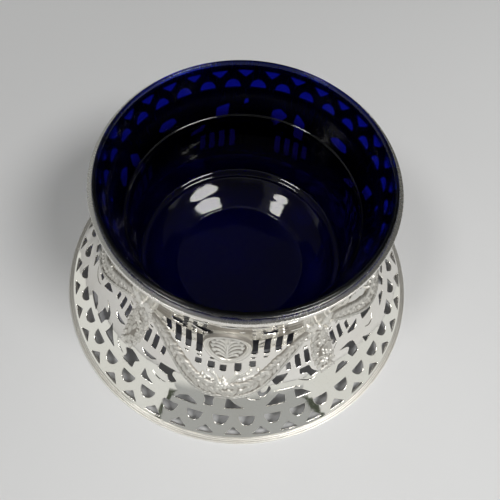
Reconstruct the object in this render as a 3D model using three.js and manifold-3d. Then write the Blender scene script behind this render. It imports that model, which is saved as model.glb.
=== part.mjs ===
// A pierced silver dish ring with a blue glass liner.
// Millimetres and degrees, +Z up, origin at the middle of the foot on the table.
// The front medallion faces -Y. Angles of the pattern are counted from it, to the right as seen.
import * as THREE from "three";
import { mergeVertices } from "three/addons/utils/BufferGeometryUtils.js";
import Module from "manifold-3d";

const wasm = await Module();
wasm.setup();

// Sizes of the ring
const ringHeight = 70;
const rimRadius = 50;
const waistRadius = 43.7;
const waistHeight = 40;
const footRadius = 68;
const sheetThickness = 0.75;
const flarePower = 2.3;
const rimPower = 1.25;

// Wires that stiffen the two edges of the sheet
const footWireWidth = 3.4;
const footWireHeight = 1.1;
const footWireShow = 2;
const footWireRound = 0.45;
const rimWireWidth = 1.6;
const rimWireHeight = 1.8;
const rimWireShow = 0.6;
const rimWireRound = 0.35;
const solderGap = 0.15;

// Glass liner
const linerTop = 72.3;
const linerBeadRadius = 48.5;
const linerBeadGap = 0.3;
const linerSideGap = 0.5;
const glassThickness = 1.9;
const shoulderGlassThickness = 1.4;
const shoulderHeight = 60.5;
const ledgeHeight = 50.5;
const ledgeRadius = 39.9;
const bowlFloorRadius = 37.7;
const bowlFloorHeight = 17.5;
const bowlPadRadius = 24.4;
const bowlPadHeight = 12.5;

// How finely the round shapes are cut
const wireSegments = 48;
const glassSegments = 40;
const wallFacetTurn = 12;
const wallFacetRise = 9;
const cellMargin = 1;
const wideGap = 8;
const borderBend = 0.0004;

// Ornament
const ornamentGap = 0.4;
const quarterAngles = [0, 90, 180, 270];
const dropAngles = [-44, 43, 136, 224];
const medallionHalfWidth = 8;
const medallionHalfHeight = 12.4;
const medallionRise = -1.3;
const medallionBorder = 2.1;
const medallionRelief = 1.5;
const medallionFieldRelief = 0.8;
const medallionPoints = 20;
const palmetteRelief = 1.35;
const palmetteRootShare = 0.45;
const swagWidth = 3.4;
const swagRelief = 1.4;
const swagSteps = 18;
const dropHalfWidth = 3.7;
const dropBottomShare = 36.1;
const dropTopShare = 82.6;
const dropRelief = 1.7;
const ornamentClearance = 0.4;

// The pattern's heights are hundredths of the way from an edge of the sheet to its waist.
// Pierced rows along the foot, counted up from the foot edge
const footRowCount = 40;
const footTriangle = { low: 2, high: 8.3, halfAngle: 2.9 };
const footMoon = { low: 9.6, high: 17.6, halfAngle: 2.9 };
// Pierced rows along the rim, counted down from the rim edge
const rimRowCount = 32;
const rimRowStart = -5;
const rimTriangle = { low: 3.2, high: 13, halfAngle: 3.5 };
const rimDome = { low: 15.4, high: 27.4, halfAngle: 3.5 };

// Hand-sawn scrollwork above the foot rows: [angle, height from the foot edge], cut twice, half a turn apart
const scrollHoles = [
  [[-86.5, 28.7], [-82, 26.5], [-85, 36.3]],
  [[-78.5, 42.8], [-77.5, 36.5], [-73.8, 40.2], [-76, 44.1]],
  [[-69.5, 40], [-64.3, 48.7], [-66, 50.5], [-70, 47.4]],
  [[-72, 23.1], [-64.6, 22.8], [-66, 27.8], [-69.5, 28.7]],
  [[-61.5, 23.3], [-57.5, 23.3], [-57.8, 30], [-61.8, 30.7]],
  [[-61.5, 33.1], [-57.2, 32.2], [-59, 37.6], [-63, 40]],
  [[-54, 23.5], [-47.8, 23.5], [-54, 34.8]],
  [[-56, 46.8], [-52.5, 42.8], [-48.2, 46.8]],
  [[-41, 23.1], [-36.6, 23.1], [-36.1, 33.3], [-39.5, 36.3], [-42.6, 32.6]],
  [[-35.1, 44.8], [-32.5, 42], [-28.9, 45]],
  [[-32, 23.3], [-27.7, 23.3], [-31.8, 30.9]],
  [[-27, 39.6], [-22, 38.3], [-20.6, 33.1], [-18.6, 35.7], [-21.2, 40.5], [-20.4, 44.8], [-27, 45]],
  [[-17.2, 22.4], [-9, 22.4], [-10.5, 27], [-14.5, 27.8]],
  [[-6.6, 23.9], [-3, 24.1], [-3.2, 33.5], [-7, 32]],
  [[1, 23.9], [7.6, 24.1], [1.6, 33.5]],
  [[12.8, 32.6], [18.2, 37.8], [17.6, 42.6], [15.8, 38.3], [12.2, 37.8], [9.8, 41.5]],
  [[15.8, 24.6], [23, 25.4], [23.4, 33.9], [19.4, 32.2]],
  [[20.6, 42], [23.6, 44.8], [25.8, 50], [19, 50]],
  [[27.6, 25.9], [34, 26.5], [27.4, 34.1]],
  [[31, 44.8], [34.2, 43.5], [36, 38.3], [39, 38.1], [36, 45.2], [35.4, 49.6], [31.2, 49.6]],
  [[45, 27.2], [52, 27], [50, 31.8], [47.5, 32.2]],
  [[54, 26.8], [58.4, 26.8], [59, 34.4], [57.4, 38.3], [53.6, 33.1]],
  [[57.8, 48.5], [61.6, 45.2], [65.4, 50.2]],
  [[63, 25.2], [66.4, 25.2], [63.6, 32]],
  [[68.2, 41.8], [72.4, 39.1], [75.6, 38.7], [73.2, 44.8], [69, 49.8]],
  [[79, 25.2], [86.6, 25], [83, 30.2]],
  [[88.6, 25.7], [92.2, 25.9], [92.4, 30.4], [91.2, 36.5], [88, 31.8]]
];
// Leaf-like cuts between the rim rows and the waist, one quarter: [angle, depth below the rim edge]
const upperScrollHoles = [
  [[-26.5, 65.3], [-20, 63.9], [-21, 49.8], [-27.2, 51.2]],
  [[-12.4, 68.8], [-8.6, 66.7], [-6.6, 42.8], [-13, 43.5]],
  [[13.4, 60.4], [19, 61.1], [19.6, 42.8], [13, 43.5]],
  [[25, 64.6], [30.6, 62.5], [29.4, 47], [24.4, 48.4]],
  [[36.6, 59.6], [40.8, 66.7], [51, 66.7], [54, 58.9], [49, 45.6], [40.6, 45.6]]
];
// Upright slots: [angle, low, high], counted from the waist
const medallionSlots = [
  [-28, -16.7, 1.1], [-22.8, -23.5, 2.2], [-17.6, -24.4, 2.2], [-12.5, -24.8, 2.2],
  [11.9, -21.7, 3.3], [17.3, -21.7, 3.3], [22.6, -21.7, 3.3], [27.9, -18.7, 2.2]
];
const medallionSquares = [
  [-11.7, -39.1, -33.1], [-6, -39.8, -33.1], [-1.1, -40.9, -34.4], [5, -39.6, -31.8], [11.2, -35.7, -29.1]
];
const dropSlots = [
  [-16.2, -46.5, -38.7], [-11.6, -47, -33.9], [-6.4, -47, -33.5],
  [6.2, -47, -33.5], [11.4, -47, -33.9], [16.4, -46.5, -38.7]
];
const slotWidth = 1.7;
const slotBulge = 0.08;

// Middle line of a swag, right half: [angle from its medallion, height from the foot edge]
const swagLine = [
  [0, 39.6], [4.5, 40], [9, 41.1], [13.7, 43.5], [18.2, 49.8], [23, 58.3], [27.6, 66.6], [32.6, 77]
];

// The sheet's outer face as a curve turned about Z
const sheetFootHeight = footWireHeight + solderGap + sheetThickness;
const sheetRimHeight = ringHeight - rimWireHeight - solderGap * 2;
const sheetFootRadius = footRadius - footWireShow;
const sheetRimRadius = rimRadius - rimWireShow;

function sheetRadius(height) {
  if (height < waistHeight) {
    const drop = (waistHeight - height) / (waistHeight - sheetFootHeight);
    return waistRadius + (sheetFootRadius - waistRadius) * drop ** flarePower;
  }
  const rise = (height - waistHeight) / (sheetRimHeight - waistHeight);
  return waistRadius + (sheetRimRadius - waistRadius) * rise ** rimPower;
}

// Climb is the distance walked up the sheet's outer face from its foot edge
const climbSteps = 600;
const climbTable = [{ climb: 0, height: sheetFootHeight }];
for (let step = 1; step <= climbSteps; step += 1) {
  const last = climbTable[step - 1];
  const height = sheetFootHeight + ((sheetRimHeight - sheetFootHeight) * step) / climbSteps;
  const run = sheetRadius(height) - sheetRadius(last.height);
  climbTable.push({ climb: last.climb + Math.hypot(run, height - last.height), height });
}
const fullClimb = climbTable[climbSteps].climb;
const waistClimb = climbTable.find((entry) => entry.height >= waistHeight).climb;

// The pattern's heights as climbs
function upFromFoot(share) {
  return (waistClimb * share) / 100;
}

function downFromRim(share) {
  return fullClimb - ((fullClimb - waistClimb) * share) / 100;
}

function heightAt(climb) {
  const inside = THREE.MathUtils.clamp(climb, 0, fullClimb);
  const next = Math.max(1, climbTable.findIndex((entry) => entry.climb >= inside));
  const low = climbTable[next - 1];
  const high = climbTable[next];
  const share = (inside - low.climb) / (high.climb - low.climb);
  return THREE.MathUtils.lerp(low.height, high.height, share);
}

function sheetNormal(height) {
  const slopeStep = 0.05;
  const run = sheetRadius(height + slopeStep) - sheetRadius(height - slopeStep);
  return new THREE.Vector2(2 * slopeStep, -run).normalize();
}

// A point of the sheet's outer face, lifted off it along the face's normal
function wallPoint(angle, climb, lift) {
  const height = heightAt(climb);
  const normal = sheetNormal(height);
  const radius = sheetRadius(height) + normal.x * lift;
  const turn = THREE.MathUtils.degToRad(angle - 90);
  return [radius * Math.cos(turn), radius * Math.sin(turn), height + normal.y * lift];
}

function degreesPerMillimetre(climb) {
  return 180 / (Math.PI * sheetRadius(heightAt(climb)));
}

// Closed shapes
function geometryFrom(positions, triangles) {
  const geometry = new THREE.BufferGeometry();
  geometry.setAttribute("position", new THREE.Float32BufferAttribute(positions, 3));
  geometry.setIndex(triangles);
  return geometry;
}

function toSolid(geometry) {
  const bare = new THREE.BufferGeometry();
  bare.setAttribute("position", geometry.attributes.position);
  bare.setIndex(geometry.index);
  const merged = mergeVertices(bare, 1e-4);
  const vertProperties = new Float32Array(merged.attributes.position.array);
  const triVerts = new Uint32Array(merged.index.array);
  return new wasm.Manifold(new wasm.Mesh({ numProp: 3, vertProperties, triVerts }));
}

function toGeometry(solid) {
  const mesh = solid.getMesh();
  return geometryFrom(Array.from(mesh.vertProperties), Array.from(mesh.triVerts));
}

// A ring turned about Z from a closed outline of [radius, height], listed counter-clockwise
function turnedRing(outline, segments) {
  const points = outline.map(([radius, height]) => new THREE.Vector2(radius, height));
  points.push(points[0].clone());
  const geometry = new THREE.LatheGeometry(points, segments);
  geometry.rotateX(Math.PI / 2);
  return geometry;
}

// A relief that follows the wall, from rings of [angle, climb, lift] with as many points each.
// The first ring closes the back and the last one the top.
function ringStack(rings) {
  const count = rings[0].length;
  const positions = rings.flat().flatMap(([angle, climb, lift]) => wallPoint(angle, climb, lift));
  const triangles = [];
  for (let layer = 0; layer + 1 < rings.length; layer += 1) {
    const low = layer * count;
    const high = low + count;
    for (let i = 0; i < count; i += 1) {
      const j = (i + 1) % count;
      triangles.push(low + i, low + j, high + j);
      triangles.push(low + i, high + j, high + i);
    }
  }
  const flatRing = (ring) => ring.map(([angle, climb]) => new THREE.Vector2(angle, climb));
  for (const [a, b, c] of THREE.ShapeUtils.triangulateShape(flatRing(rings[0]), [])) {
    triangles.push(a, c, b);
  }
  const top = (rings.length - 1) * count;
  for (const [a, b, c] of THREE.ShapeUtils.triangulateShape(flatRing(rings[rings.length - 1]), [])) {
    triangles.push(top + a, top + b, top + c);
  }
  return geometryFrom(positions, triangles);
}

function withLift(outline, lift) {
  return outline.map(([angle, climb]) => [angle, climb, lift]);
}

// Holes of the pierced wall, as bands from the foot edge to the rim edge
function triangleOutline(angle, flatClimb, tipClimb, halfWidth) {
  return [[angle - halfWidth, flatClimb], [angle + halfWidth, flatClimb], [angle, tipClimb]];
}

// A half-moon with its flat side at one climb and its round side reaching another
function moonOutline(angle, flatClimb, roundClimb, halfWidth) {
  const points = [];
  const arcSteps = 4;
  for (let step = 0; step <= arcSteps; step += 1) {
    const turn = (Math.PI * step) / arcSteps;
    points.push([angle + halfWidth * Math.cos(turn), flatClimb + (roundClimb - flatClimb) * Math.sin(turn)]);
  }
  return points;
}

// An upright slot, a hair wider at its middle where it is long
function slotOutline(angle, low, high) {
  const middle = (low + high) / 2;
  const half = (slotWidth / 2) * degreesPerMillimetre(middle);
  const bulge = slotBulge * degreesPerMillimetre(middle);
  const rightSide = [[angle + half, low], [angle + half, high]];
  const leftSide = [[angle - half, high], [angle - half, low]];
  if (high - low > wallFacetRise) {
    rightSide.splice(1, 0, [angle + half + bulge, middle]);
    leftSide.splice(1, 0, [angle - half - bulge, middle]);
  }
  return [...rightSide, ...leftSide];
}

function aroundRing(count, outlineAt) {
  return Array.from({ length: count }, (_, index) => outlineAt((index * 360) / count));
}

function turnedCopies(turns, makeOutlines) {
  return turns.flatMap((turn) => (
    makeOutlines().map((outline) => outline.map(([at, climb]) => [at + turn, climb]))));
}

function waistSlots(list) {
  return list.map(([at, low, high]) => slotOutline(at, upFromFoot(100 + low), upFromFoot(100 + high)));
}

function drawnHoles(holes, climbAt) {
  return holes.map((hole) => hole.map(([at, share]) => [at, climbAt(share)]));
}

function triangleRow(count, start, row, climbAt) {
  return aroundRing(count, (angle) => (
    triangleOutline(angle + start, climbAt(row.low), climbAt(row.high), row.halfAngle)));
}

// Half-moons have their round side nearer the edge that they are counted from
function moonRow(count, start, row, climbAt) {
  return aroundRing(count, (angle) => (
    moonOutline(angle + start, climbAt(row.high), climbAt(row.low), row.halfAngle)));
}

function wallBands() {
  const footPitch = 360 / footRowCount;
  const rimPitch = 360 / rimRowCount;
  return [
    triangleRow(footRowCount, footPitch / 2, footTriangle, upFromFoot),
    moonRow(footRowCount, 0, footMoon, upFromFoot),
    turnedCopies([0, 180], () => drawnHoles(scrollHoles, upFromFoot)),
    [
      ...turnedCopies(dropAngles, () => waistSlots(dropSlots)),
      ...turnedCopies(quarterAngles, () => waistSlots(medallionSquares))
    ],
    turnedCopies(quarterAngles, () => waistSlots(medallionSlots)),
    turnedCopies(quarterAngles, () => drawnHoles(upperScrollHoles, downFromRim)),
    moonRow(rimRowCount, rimRowStart + rimPitch / 2, rimDome, downFromRim),
    triangleRow(rimRowCount, rimRowStart, rimTriangle, downFromRim)
  ];
}

// Cell sides lie on even fractions of a degree, so that full turns and halves of them stay exact
function snapped(angle) {
  const fractions = 64;
  return Math.round(angle * fractions) / fractions;
}

function withinTurn(angle) {
  return ((angle % 360) + 360) % 360;
}

// A band is parted into cells between its groups of holes
function bandCells(holes) {
  const groups = [];
  const spans = holes.map((hole) => {
    const angles = hole.map(([at]) => at);
    const left = Math.min(...angles);
    const right = Math.max(...angles);
    const shift = -360 * Math.floor((left + right) / 720);
    return { hole: hole.map(([at, climb]) => [at + shift, climb]), left: left + shift, right: right + shift };
  });
  spans.sort((a, b) => a.left - b.left);
  for (const span of spans) {
    const last = groups[groups.length - 1];
    if (last && span.left < last.right) {
      last.holes.push(span.hole);
      last.right = Math.max(last.right, span.right);
    } else {
      groups.push({ holes: [span.hole], left: span.left, right: span.right });
    }
  }
  const cells = [];
  let start = null;
  for (let index = 0; index <= groups.length; index += 1) {
    const wraps = index === groups.length ? 360 : 0;
    const group = groups[index % groups.length];
    const before = groups[(index + groups.length - 1) % groups.length];
    const beforeRight = before.right - (index === 0 ? 360 : 0);
    const gap = group.left + wraps - beforeRight;
    const margin = gap > wideGap ? cellMargin : gap / 2;
    const end = snapped(beforeRight + margin);
    if (start !== null) {
      cells.push({ left: start, right: end, holes: before.holes });
    }
    start = snapped(group.left + wraps - margin);
    if (start > end && index > 0) {
      cells.push({ left: end, right: start, holes: [] });
    }
  }
  return cells;
}

// Points of a border strictly between two angles, with the border's stations counted round the ring
function stationsBetween(stations, left, right) {
  const found = [];
  for (const turn of [-360, 0, 360]) {
    for (const station of stations) {
      const angle = station + turn;
      if (angle > left + 1e-6 && angle < right - 1e-6) {
        found.push(angle);
      }
    }
  }
  return found.sort((a, b) => a - b);
}

// A cell's metal as triangles of flat points. Border stations are bent inwards by a hair while it is divided,
// so that none of them is skipped.
function cellTriangles(cell, low, high, lowStations, highStations) {
  const { left, right, holes } = cell;
  const bend = (angle) => borderBend * (angle - left) * (right - angle);
  const contour = [[left, low, low], [right, low, low], [right, high, high], [left, high, high]];
  const along = stationsBetween(lowStations, left, right).map((angle) => [angle, low, low + bend(angle)]);
  const back = stationsBetween(highStations, left, right).map((angle) => [angle, high, high - bend(angle)]);
  contour.splice(3, 0, ...back.reverse());
  contour.splice(1, 0, ...along);
  const rings = [contour, ...holes.map((hole) => hole.map(([angle, climb]) => [angle, climb, climb]))];
  const all = rings.flat();
  const flat = rings.map((ring) => ring.map(([angle, , climb]) => new THREE.Vector2(angle, climb)));
  const flatPoints = flat.flat();
  return THREE.ShapeUtils.triangulateShape(flat[0], flat.slice(1)).map((corners) => {
    const area = THREE.ShapeUtils.area(corners.map((index) => flatPoints[index]));
    const ordered = area > 0 ? corners : corners.slice().reverse();
    return ordered.map((index) => [all[index][0], all[index][1]]);
  });
}

function tooLong(a, b) {
  return Math.max(Math.abs(a[0] - b[0]) / wallFacetTurn, Math.abs(a[1] - b[1]) / wallFacetRise);
}

// Long edges are halved until the facets follow the curve of the wall
function refined(triangles) {
  const done = [];
  const waiting = triangles.slice();
  while (waiting.length > 0) {
    const corners = waiting.pop();
    const lengths = corners.map((corner, i) => tooLong(corner, corners[(i + 1) % 3]));
    const longest = lengths.indexOf(Math.max(...lengths));
    if (lengths[longest] <= 1) {
      done.push(corners);
    } else {
      const a = corners[longest];
      const b = corners[(longest + 1) % 3];
      const c = corners[(longest + 2) % 3];
      const middle = [(a[0] + b[0]) / 2, (a[1] + b[1]) / 2];
      waiting.push([a, middle, c], [middle, b, c]);
    }
  }
  return done;
}

function highestOf(holes) {
  return Math.max(...holes.flat().map(([, climb]) => climb));
}

function lowestOf(holes) {
  return Math.min(...holes.flat().map(([, climb]) => climb));
}

// Pierced wall: the flat triangles carried on to both faces of the sheet, with walls along every edge
function piercedWall() {
  const bands = wallBands();
  const cells = bands.map(bandCells);
  const borders = [0];
  for (let i = 0; i + 1 < bands.length; i += 1) {
    borders.push((highestOf(bands[i]) + lowestOf(bands[i + 1])) / 2);
  }
  borders.push(fullClimb);
  const stations = borders.map((_, i) => {
    const edges = [...(cells[i - 1] || []), ...(cells[i] || [])].map((cell) => withinTurn(cell.left));
    return [...new Set(edges)];
  });
  const flat = cells.flatMap((row, i) => (
    row.flatMap((cell) => cellTriangles(cell, borders[i], borders[i + 1], stations[i], stations[i + 1]))));
  const indexOf = new Map();
  const points = [];
  const triangles = refined(flat).map((corners) => corners.map(([angle, climb]) => {
    const key = `${withinTurn(angle)} ${climb}`;
    if (!indexOf.has(key)) {
      indexOf.set(key, points.length);
      points.push([angle, climb]);
    }
    return indexOf.get(key);
  }));
  const count = points.length;
  const positions = [0, -sheetThickness].flatMap((lift) => (
    points.flatMap(([angle, climb]) => wallPoint(angle, climb, lift))));
  const edges = new Set(triangles.flatMap(([a, b, c]) => [`${a} ${b}`, `${b} ${c}`, `${c} ${a}`]));
  const index = [];
  for (const [a, b, c] of triangles) {
    index.push(a, b, c);
    index.push(count + a, count + c, count + b);
  }
  for (const edge of edges) {
    const [a, b] = edge.split(" ").map(Number);
    if (!edges.has(`${b} ${a}`)) {
      index.push(b, a, count + a);
      index.push(b, count + a, count + b);
    }
  }
  return geometryFrom(positions, index);
}

// Wires at the foot and the rim
function footWire() {
  const outside = footRadius;
  const inside = footRadius - footWireWidth;
  return turnedRing([
    [inside, 0],
    [outside - footWireRound, 0],
    [outside, footWireRound],
    [outside, footWireHeight - footWireRound],
    [outside - footWireRound, footWireHeight],
    [inside, footWireHeight]
  ], wireSegments);
}

function rimWire() {
  const bottom = ringHeight - rimWireHeight;
  const inside = rimRadius - rimWireWidth;
  return turnedRing([
    [inside, bottom],
    [rimRadius - rimWireRound, bottom],
    [rimRadius, bottom + rimWireRound],
    [rimRadius, ringHeight - rimWireRound],
    [rimRadius - rimWireRound, ringHeight],
    [inside, ringHeight]
  ], wireSegments);
}

// Glass liner, its bead resting on the rim wire and its shoulder in the cone of the wall
function glassLiner() {
  const neckRadius = rimRadius - rimWireWidth - linerSideGap;
  const seatNormal = sheetNormal(shoulderHeight);
  const shoulderRadius = sheetRadius(shoulderHeight) - seatNormal.x * sheetThickness - linerSideGap;
  const beadBottom = ringHeight + linerBeadGap;
  const innerNeck = linerBeadRadius - glassThickness;
  const innerShoulder = shoulderRadius - shoulderGlassThickness;
  const beadMiddle = (beadBottom + linerTop) / 2;
  const beadCentre = (linerBeadRadius + innerNeck) / 2;
  const outside = [
    [bowlPadRadius - glassThickness, bowlPadHeight - glassThickness],
    [bowlFloorRadius - glassThickness * 2, bowlFloorHeight - glassThickness * 1.6],
    [bowlFloorRadius + glassThickness * 0.9, bowlFloorHeight],
    [ledgeRadius - 0.7 + glassThickness, ledgeHeight - 5.5],
    [ledgeRadius + glassThickness, ledgeHeight - 1],
    [shoulderRadius - 0.4, shoulderHeight - 2.2],
    [shoulderRadius, shoulderHeight],
    [neckRadius - 0.15, ringHeight - rimWireHeight],
    [neckRadius, beadBottom],
    [linerBeadRadius, beadBottom + 0.35],
    [linerBeadRadius, beadMiddle + 0.35],
    [beadCentre + 0.5, linerTop]
  ];
  const inside = [
    [beadCentre - 0.5, linerTop],
    [innerNeck, beadMiddle + 0.35],
    [innerNeck - 0.5, beadBottom - 1],
    [innerNeck - 0.9, ringHeight - 3.2],
    [innerShoulder, shoulderHeight],
    [innerShoulder - 1.6, shoulderHeight - 2.8],
    [ledgeRadius + 0.5, ledgeHeight + 1.2],
    [ledgeRadius - 0.3, ledgeHeight - 1.2],
    [ledgeRadius - 0.9, ledgeHeight - 7],
    [bowlFloorRadius, bowlFloorHeight + 0.8],
    [bowlFloorRadius - 1, bowlFloorHeight],
    [(bowlFloorRadius + bowlPadRadius) / 2, bowlFloorHeight - 3.1],
    [bowlPadRadius, bowlPadHeight]
  ];
  const points = [[0, bowlPadHeight - glassThickness], ...outside, ...inside, [0, bowlPadHeight]]
    .map(([radius, height]) => new THREE.Vector2(radius, height));
  const geometry = new THREE.LatheGeometry(points, glassSegments);
  geometry.rotateX(Math.PI / 2);
  return toGeometry(toSolid(geometry));
}

// Oval medallion with a raised border and a palmette on a sunk field
function ovalOutline(centreAngle, halfWidth, halfHeight) {
  const centreClimb = waistClimb + medallionRise;
  const points = [];
  for (let i = 0; i < medallionPoints; i += 1) {
    const turn = (2 * Math.PI * i) / medallionPoints;
    const climb = centreClimb + halfHeight * Math.sin(turn);
    const across = halfWidth * Math.cos(turn) * degreesPerMillimetre(centreClimb);
    points.push([centreAngle + across, climb]);
  }
  return points;
}

function medallion(centreAngle) {
  const wide = medallionHalfWidth;
  const tall = medallionHalfHeight;
  const bevel = 0.4;
  const border = medallionBorder;
  const root = [centreAngle, waistClimb + medallionRise - tall * palmetteRootShare];
  const field = ovalOutline(centreAngle, wide - border, tall - border);
  // Leaves are the ridges on every second ray from the root
  const fan = (reach, leafLift, groundLift) => field.map(([angle, climb], i) => [
    root[0] + (angle - root[0]) * reach,
    root[1] + (climb - root[1]) * reach,
    i % 2 === 0 ? groundLift : leafLift
  ]);
  return ringStack([
    withLift(ovalOutline(centreAngle, wide * 0.45, tall * 0.45), ornamentGap),
    withLift(ovalOutline(centreAngle, wide, tall), ornamentGap),
    withLift(ovalOutline(centreAngle, wide, tall), medallionRelief - bevel),
    withLift(ovalOutline(centreAngle, wide - bevel, tall - bevel), medallionRelief),
    withLift(ovalOutline(centreAngle, wide - border + bevel, tall - border + bevel), medallionRelief),
    withLift(field, medallionFieldRelief),
    fan(0.84, medallionFieldRelief, medallionFieldRelief),
    fan(0.66, palmetteRelief, medallionFieldRelief),
    fan(0.3, palmetteRelief, medallionFieldRelief),
    fan(0.1, palmetteRelief, palmetteRelief)
  ]);
}

// A swag hangs from drop to drop under its medallion, a half-round leafy band that swells at the middle
function swag(centreAngle, leftAngle, rightAngle) {
  const half = swagLine.map(([angle, share]) => new THREE.Vector2(angle, upFromFoot(share)));
  const reach = half[half.length - 1].x;
  const rightReach = rightAngle - centreAngle - dropSideAngle();
  const leftReach = centreAngle - leftAngle - dropSideAngle();
  const right = half.map((point) => new THREE.Vector2((point.x * rightReach) / reach, point.y));
  const left = half.map((point) => new THREE.Vector2((-point.x * leftReach) / reach, point.y)).reverse();
  const line = new THREE.SplineCurve([...left.slice(0, -1), ...right]);
  const sides = [[-1, 0.12], [-0.75, 0.7], [0, 1], [0.75, 0.7], [1, 0.12]];
  const positions = [];
  const triangles = [];
  for (let step = 0; step <= swagSteps; step += 1) {
    const share = step / swagSteps;
    const point = line.getPoint(share);
    const tangent = line.getTangent(share);
    const perMillimetre = degreesPerMillimetre(point.y);
    const along = new THREE.Vector2(tangent.x / perMillimetre, tangent.y).normalize();
    const wave = 1 + 0.12 * Math.cos(share * Math.PI * swagSteps);
    const swell = (0.62 + 0.38 * Math.sin(Math.PI * share)) * wave;
    for (const [side, rise] of [...sides, [1, 0], [-1, 0]]) {
      const offset = (side * swagWidth * swell) / 2;
      const angle = centreAngle + point.x - along.y * offset * perMillimetre;
      const lift = ornamentGap + rise * swagRelief * swell;
      positions.push(...wallPoint(angle, point.y + along.x * offset, lift));
    }
  }
  const count = sides.length + 2;
  for (let step = 0; step < swagSteps; step += 1) {
    for (let i = 0; i < count; i += 1) {
      const j = (i + 1) % count;
      const low = step * count;
      triangles.push(low + i, low + count + j, low + j);
      triangles.push(low + i, low + count + i, low + count + j);
    }
  }
  const last = swagSteps * count;
  for (let i = 1; i + 1 < count; i += 1) {
    triangles.push(0, i, i + 1);
    triangles.push(last, last + i + 1, last + i);
  }
  return geometryFrom(positions, triangles);
}

function dropSideAngle() {
  return (dropHalfWidth + ornamentClearance + swagWidth / 2) * degreesPerMillimetre(upFromFoot(dropTopShare));
}

// A pendant of leaves and fruit between two swags, widest near its rounded lower end
function floralDrop(centreAngle) {
  const bottom = upFromFoot(dropBottomShare);
  const span = upFromFoot(dropTopShare) - bottom;
  const shape = [
    [0, 0], [0.55, 0.04], [0.95, 0.14], [1, 0.26], [0.72, 0.36], [0.8, 0.5], [0.6, 0.62],
    [0.68, 0.74], [0.5, 0.86], [0.62, 0.95], [0, 1]
  ];
  const mirrored = shape.slice(1, -1).reverse().map(([side, along]) => [-side, along]);
  const scale = degreesPerMillimetre(bottom + span / 2);
  const outlineAt = (inset) => [...shape, ...mirrored].map(([side, along]) => {
    const shrunk = 0.5 + (along - 0.5) * (1 - (2 * inset) / span);
    const across = side * (dropHalfWidth - inset) * scale;
    return [centreAngle + across, bottom + shrunk * span];
  });
  return ringStack([
    withLift(outlineAt(2.1), ornamentGap),
    withLift(outlineAt(0), ornamentGap),
    withLift(outlineAt(0), dropRelief * 0.45),
    withLift(outlineAt(0.9), dropRelief * 0.85),
    withLift(outlineAt(2.1), dropRelief)
  ]);
}

// Materials, one for each piece
function silver(roughness) {
  return new THREE.MeshStandardMaterial({ color: 0xd8d5cc, roughness, metalness: 1 });
}

function blueGlass() {
  return new THREE.MeshStandardMaterial({ color: 0x06083c, roughness: 0.05, metalness: 0 });
}

const dishRing = new THREE.Group();

function addPiece(parent, name, geometry, material) {
  geometry.computeVertexNormals();
  const mesh = new THREE.Mesh(geometry, material);
  mesh.name = name;
  parent.add(mesh);
}

const silverRing = new THREE.Group();
addPiece(silverRing, "pierced_wall", piercedWall(), silver(0.22));
addPiece(silverRing, "foot_wire", footWire(), silver(0.18));
addPiece(silverRing, "rim_wire", rimWire(), silver(0.2));
quarterAngles.forEach((quarter, index) => {
  const leftDrop = dropAngles[index];
  const rightDrop = index === 3 ? dropAngles[0] + 360 : dropAngles[index + 1];
  addPiece(silverRing, `medallion_${index + 1}`, medallion(quarter), silver(0.3));
  addPiece(silverRing, `swag_${index + 1}`, swag(quarter, leftDrop, rightDrop), silver(0.34));
  addPiece(silverRing, `floral_drop_${index + 1}`, floralDrop(leftDrop), silver(0.34));
});
dishRing.add(silverRing);

const liner = new THREE.Group();
addPiece(liner, "glass_liner", glassLiner(), blueGlass());
dishRing.add(liner);

export default dishRing;
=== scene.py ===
import math

import bpy
import numpy as np
from mathutils import Matrix, Vector
from mathutils.geometry import delaunay_2d_cdt


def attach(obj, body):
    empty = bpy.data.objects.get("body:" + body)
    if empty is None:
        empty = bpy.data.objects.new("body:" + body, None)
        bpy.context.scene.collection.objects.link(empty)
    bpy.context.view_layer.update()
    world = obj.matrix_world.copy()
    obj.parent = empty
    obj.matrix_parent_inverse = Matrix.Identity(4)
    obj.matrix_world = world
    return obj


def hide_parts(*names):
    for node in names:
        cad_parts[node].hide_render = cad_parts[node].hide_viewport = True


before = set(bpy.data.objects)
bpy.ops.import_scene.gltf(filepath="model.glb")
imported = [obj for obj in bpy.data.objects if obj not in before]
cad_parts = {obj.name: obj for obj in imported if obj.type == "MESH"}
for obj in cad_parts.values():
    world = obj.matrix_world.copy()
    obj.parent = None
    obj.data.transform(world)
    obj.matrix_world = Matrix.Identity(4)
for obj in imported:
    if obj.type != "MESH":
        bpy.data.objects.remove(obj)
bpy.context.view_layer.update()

mm = 0.001
rng = np.random.default_rng(11)


# A settings dictionary whose entries are also read as attributes
class Settings(dict):
    __getattr__ = dict.__getitem__


# The sheet's outer face, in mm: a curve turned about Z
sheet = Settings(
    footHeight=2.0, rimHeight=67.9, footRadius=66.0, rimRadius=49.4,
    waistHeight=40.0, waistRadius=43.7, flarePower=2.3, rimPower=1.25,
    thickness=0.75, tableSize=1601,
    # Rounding of cut edges; wobble of the saw, and its shares in the size and the corners of a hole
    edgeRound=0.13, wobble=0.12, growth=0.2, shift=0.5,
    # Mesh: step of the loose points and of their rings, steps along outlines and (degrees) along both
    # edges, and the room between loose points and outlines
    pointStep=1.15, ringShare=0.87, outlineStep=0.6, edgeStep=0.7, room=0.45,
    # How far the shading of a cut edge leans to its face; painted shade on the outer face, the inner face,
    # and the cut edges near the outer and near the inner face
    edgeLean=0.75, hollows=(0, 0.9, 0.1, 0.8),
    # Waves of the hammer: height, then turns and swing with the climb of two waves that cross
    waves=(0.02, 23, 0.55, 11, 0.4),
)
quarters = (0, 90, 180, 270)
dropAngles = (-44, 43, 136, 224)


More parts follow.
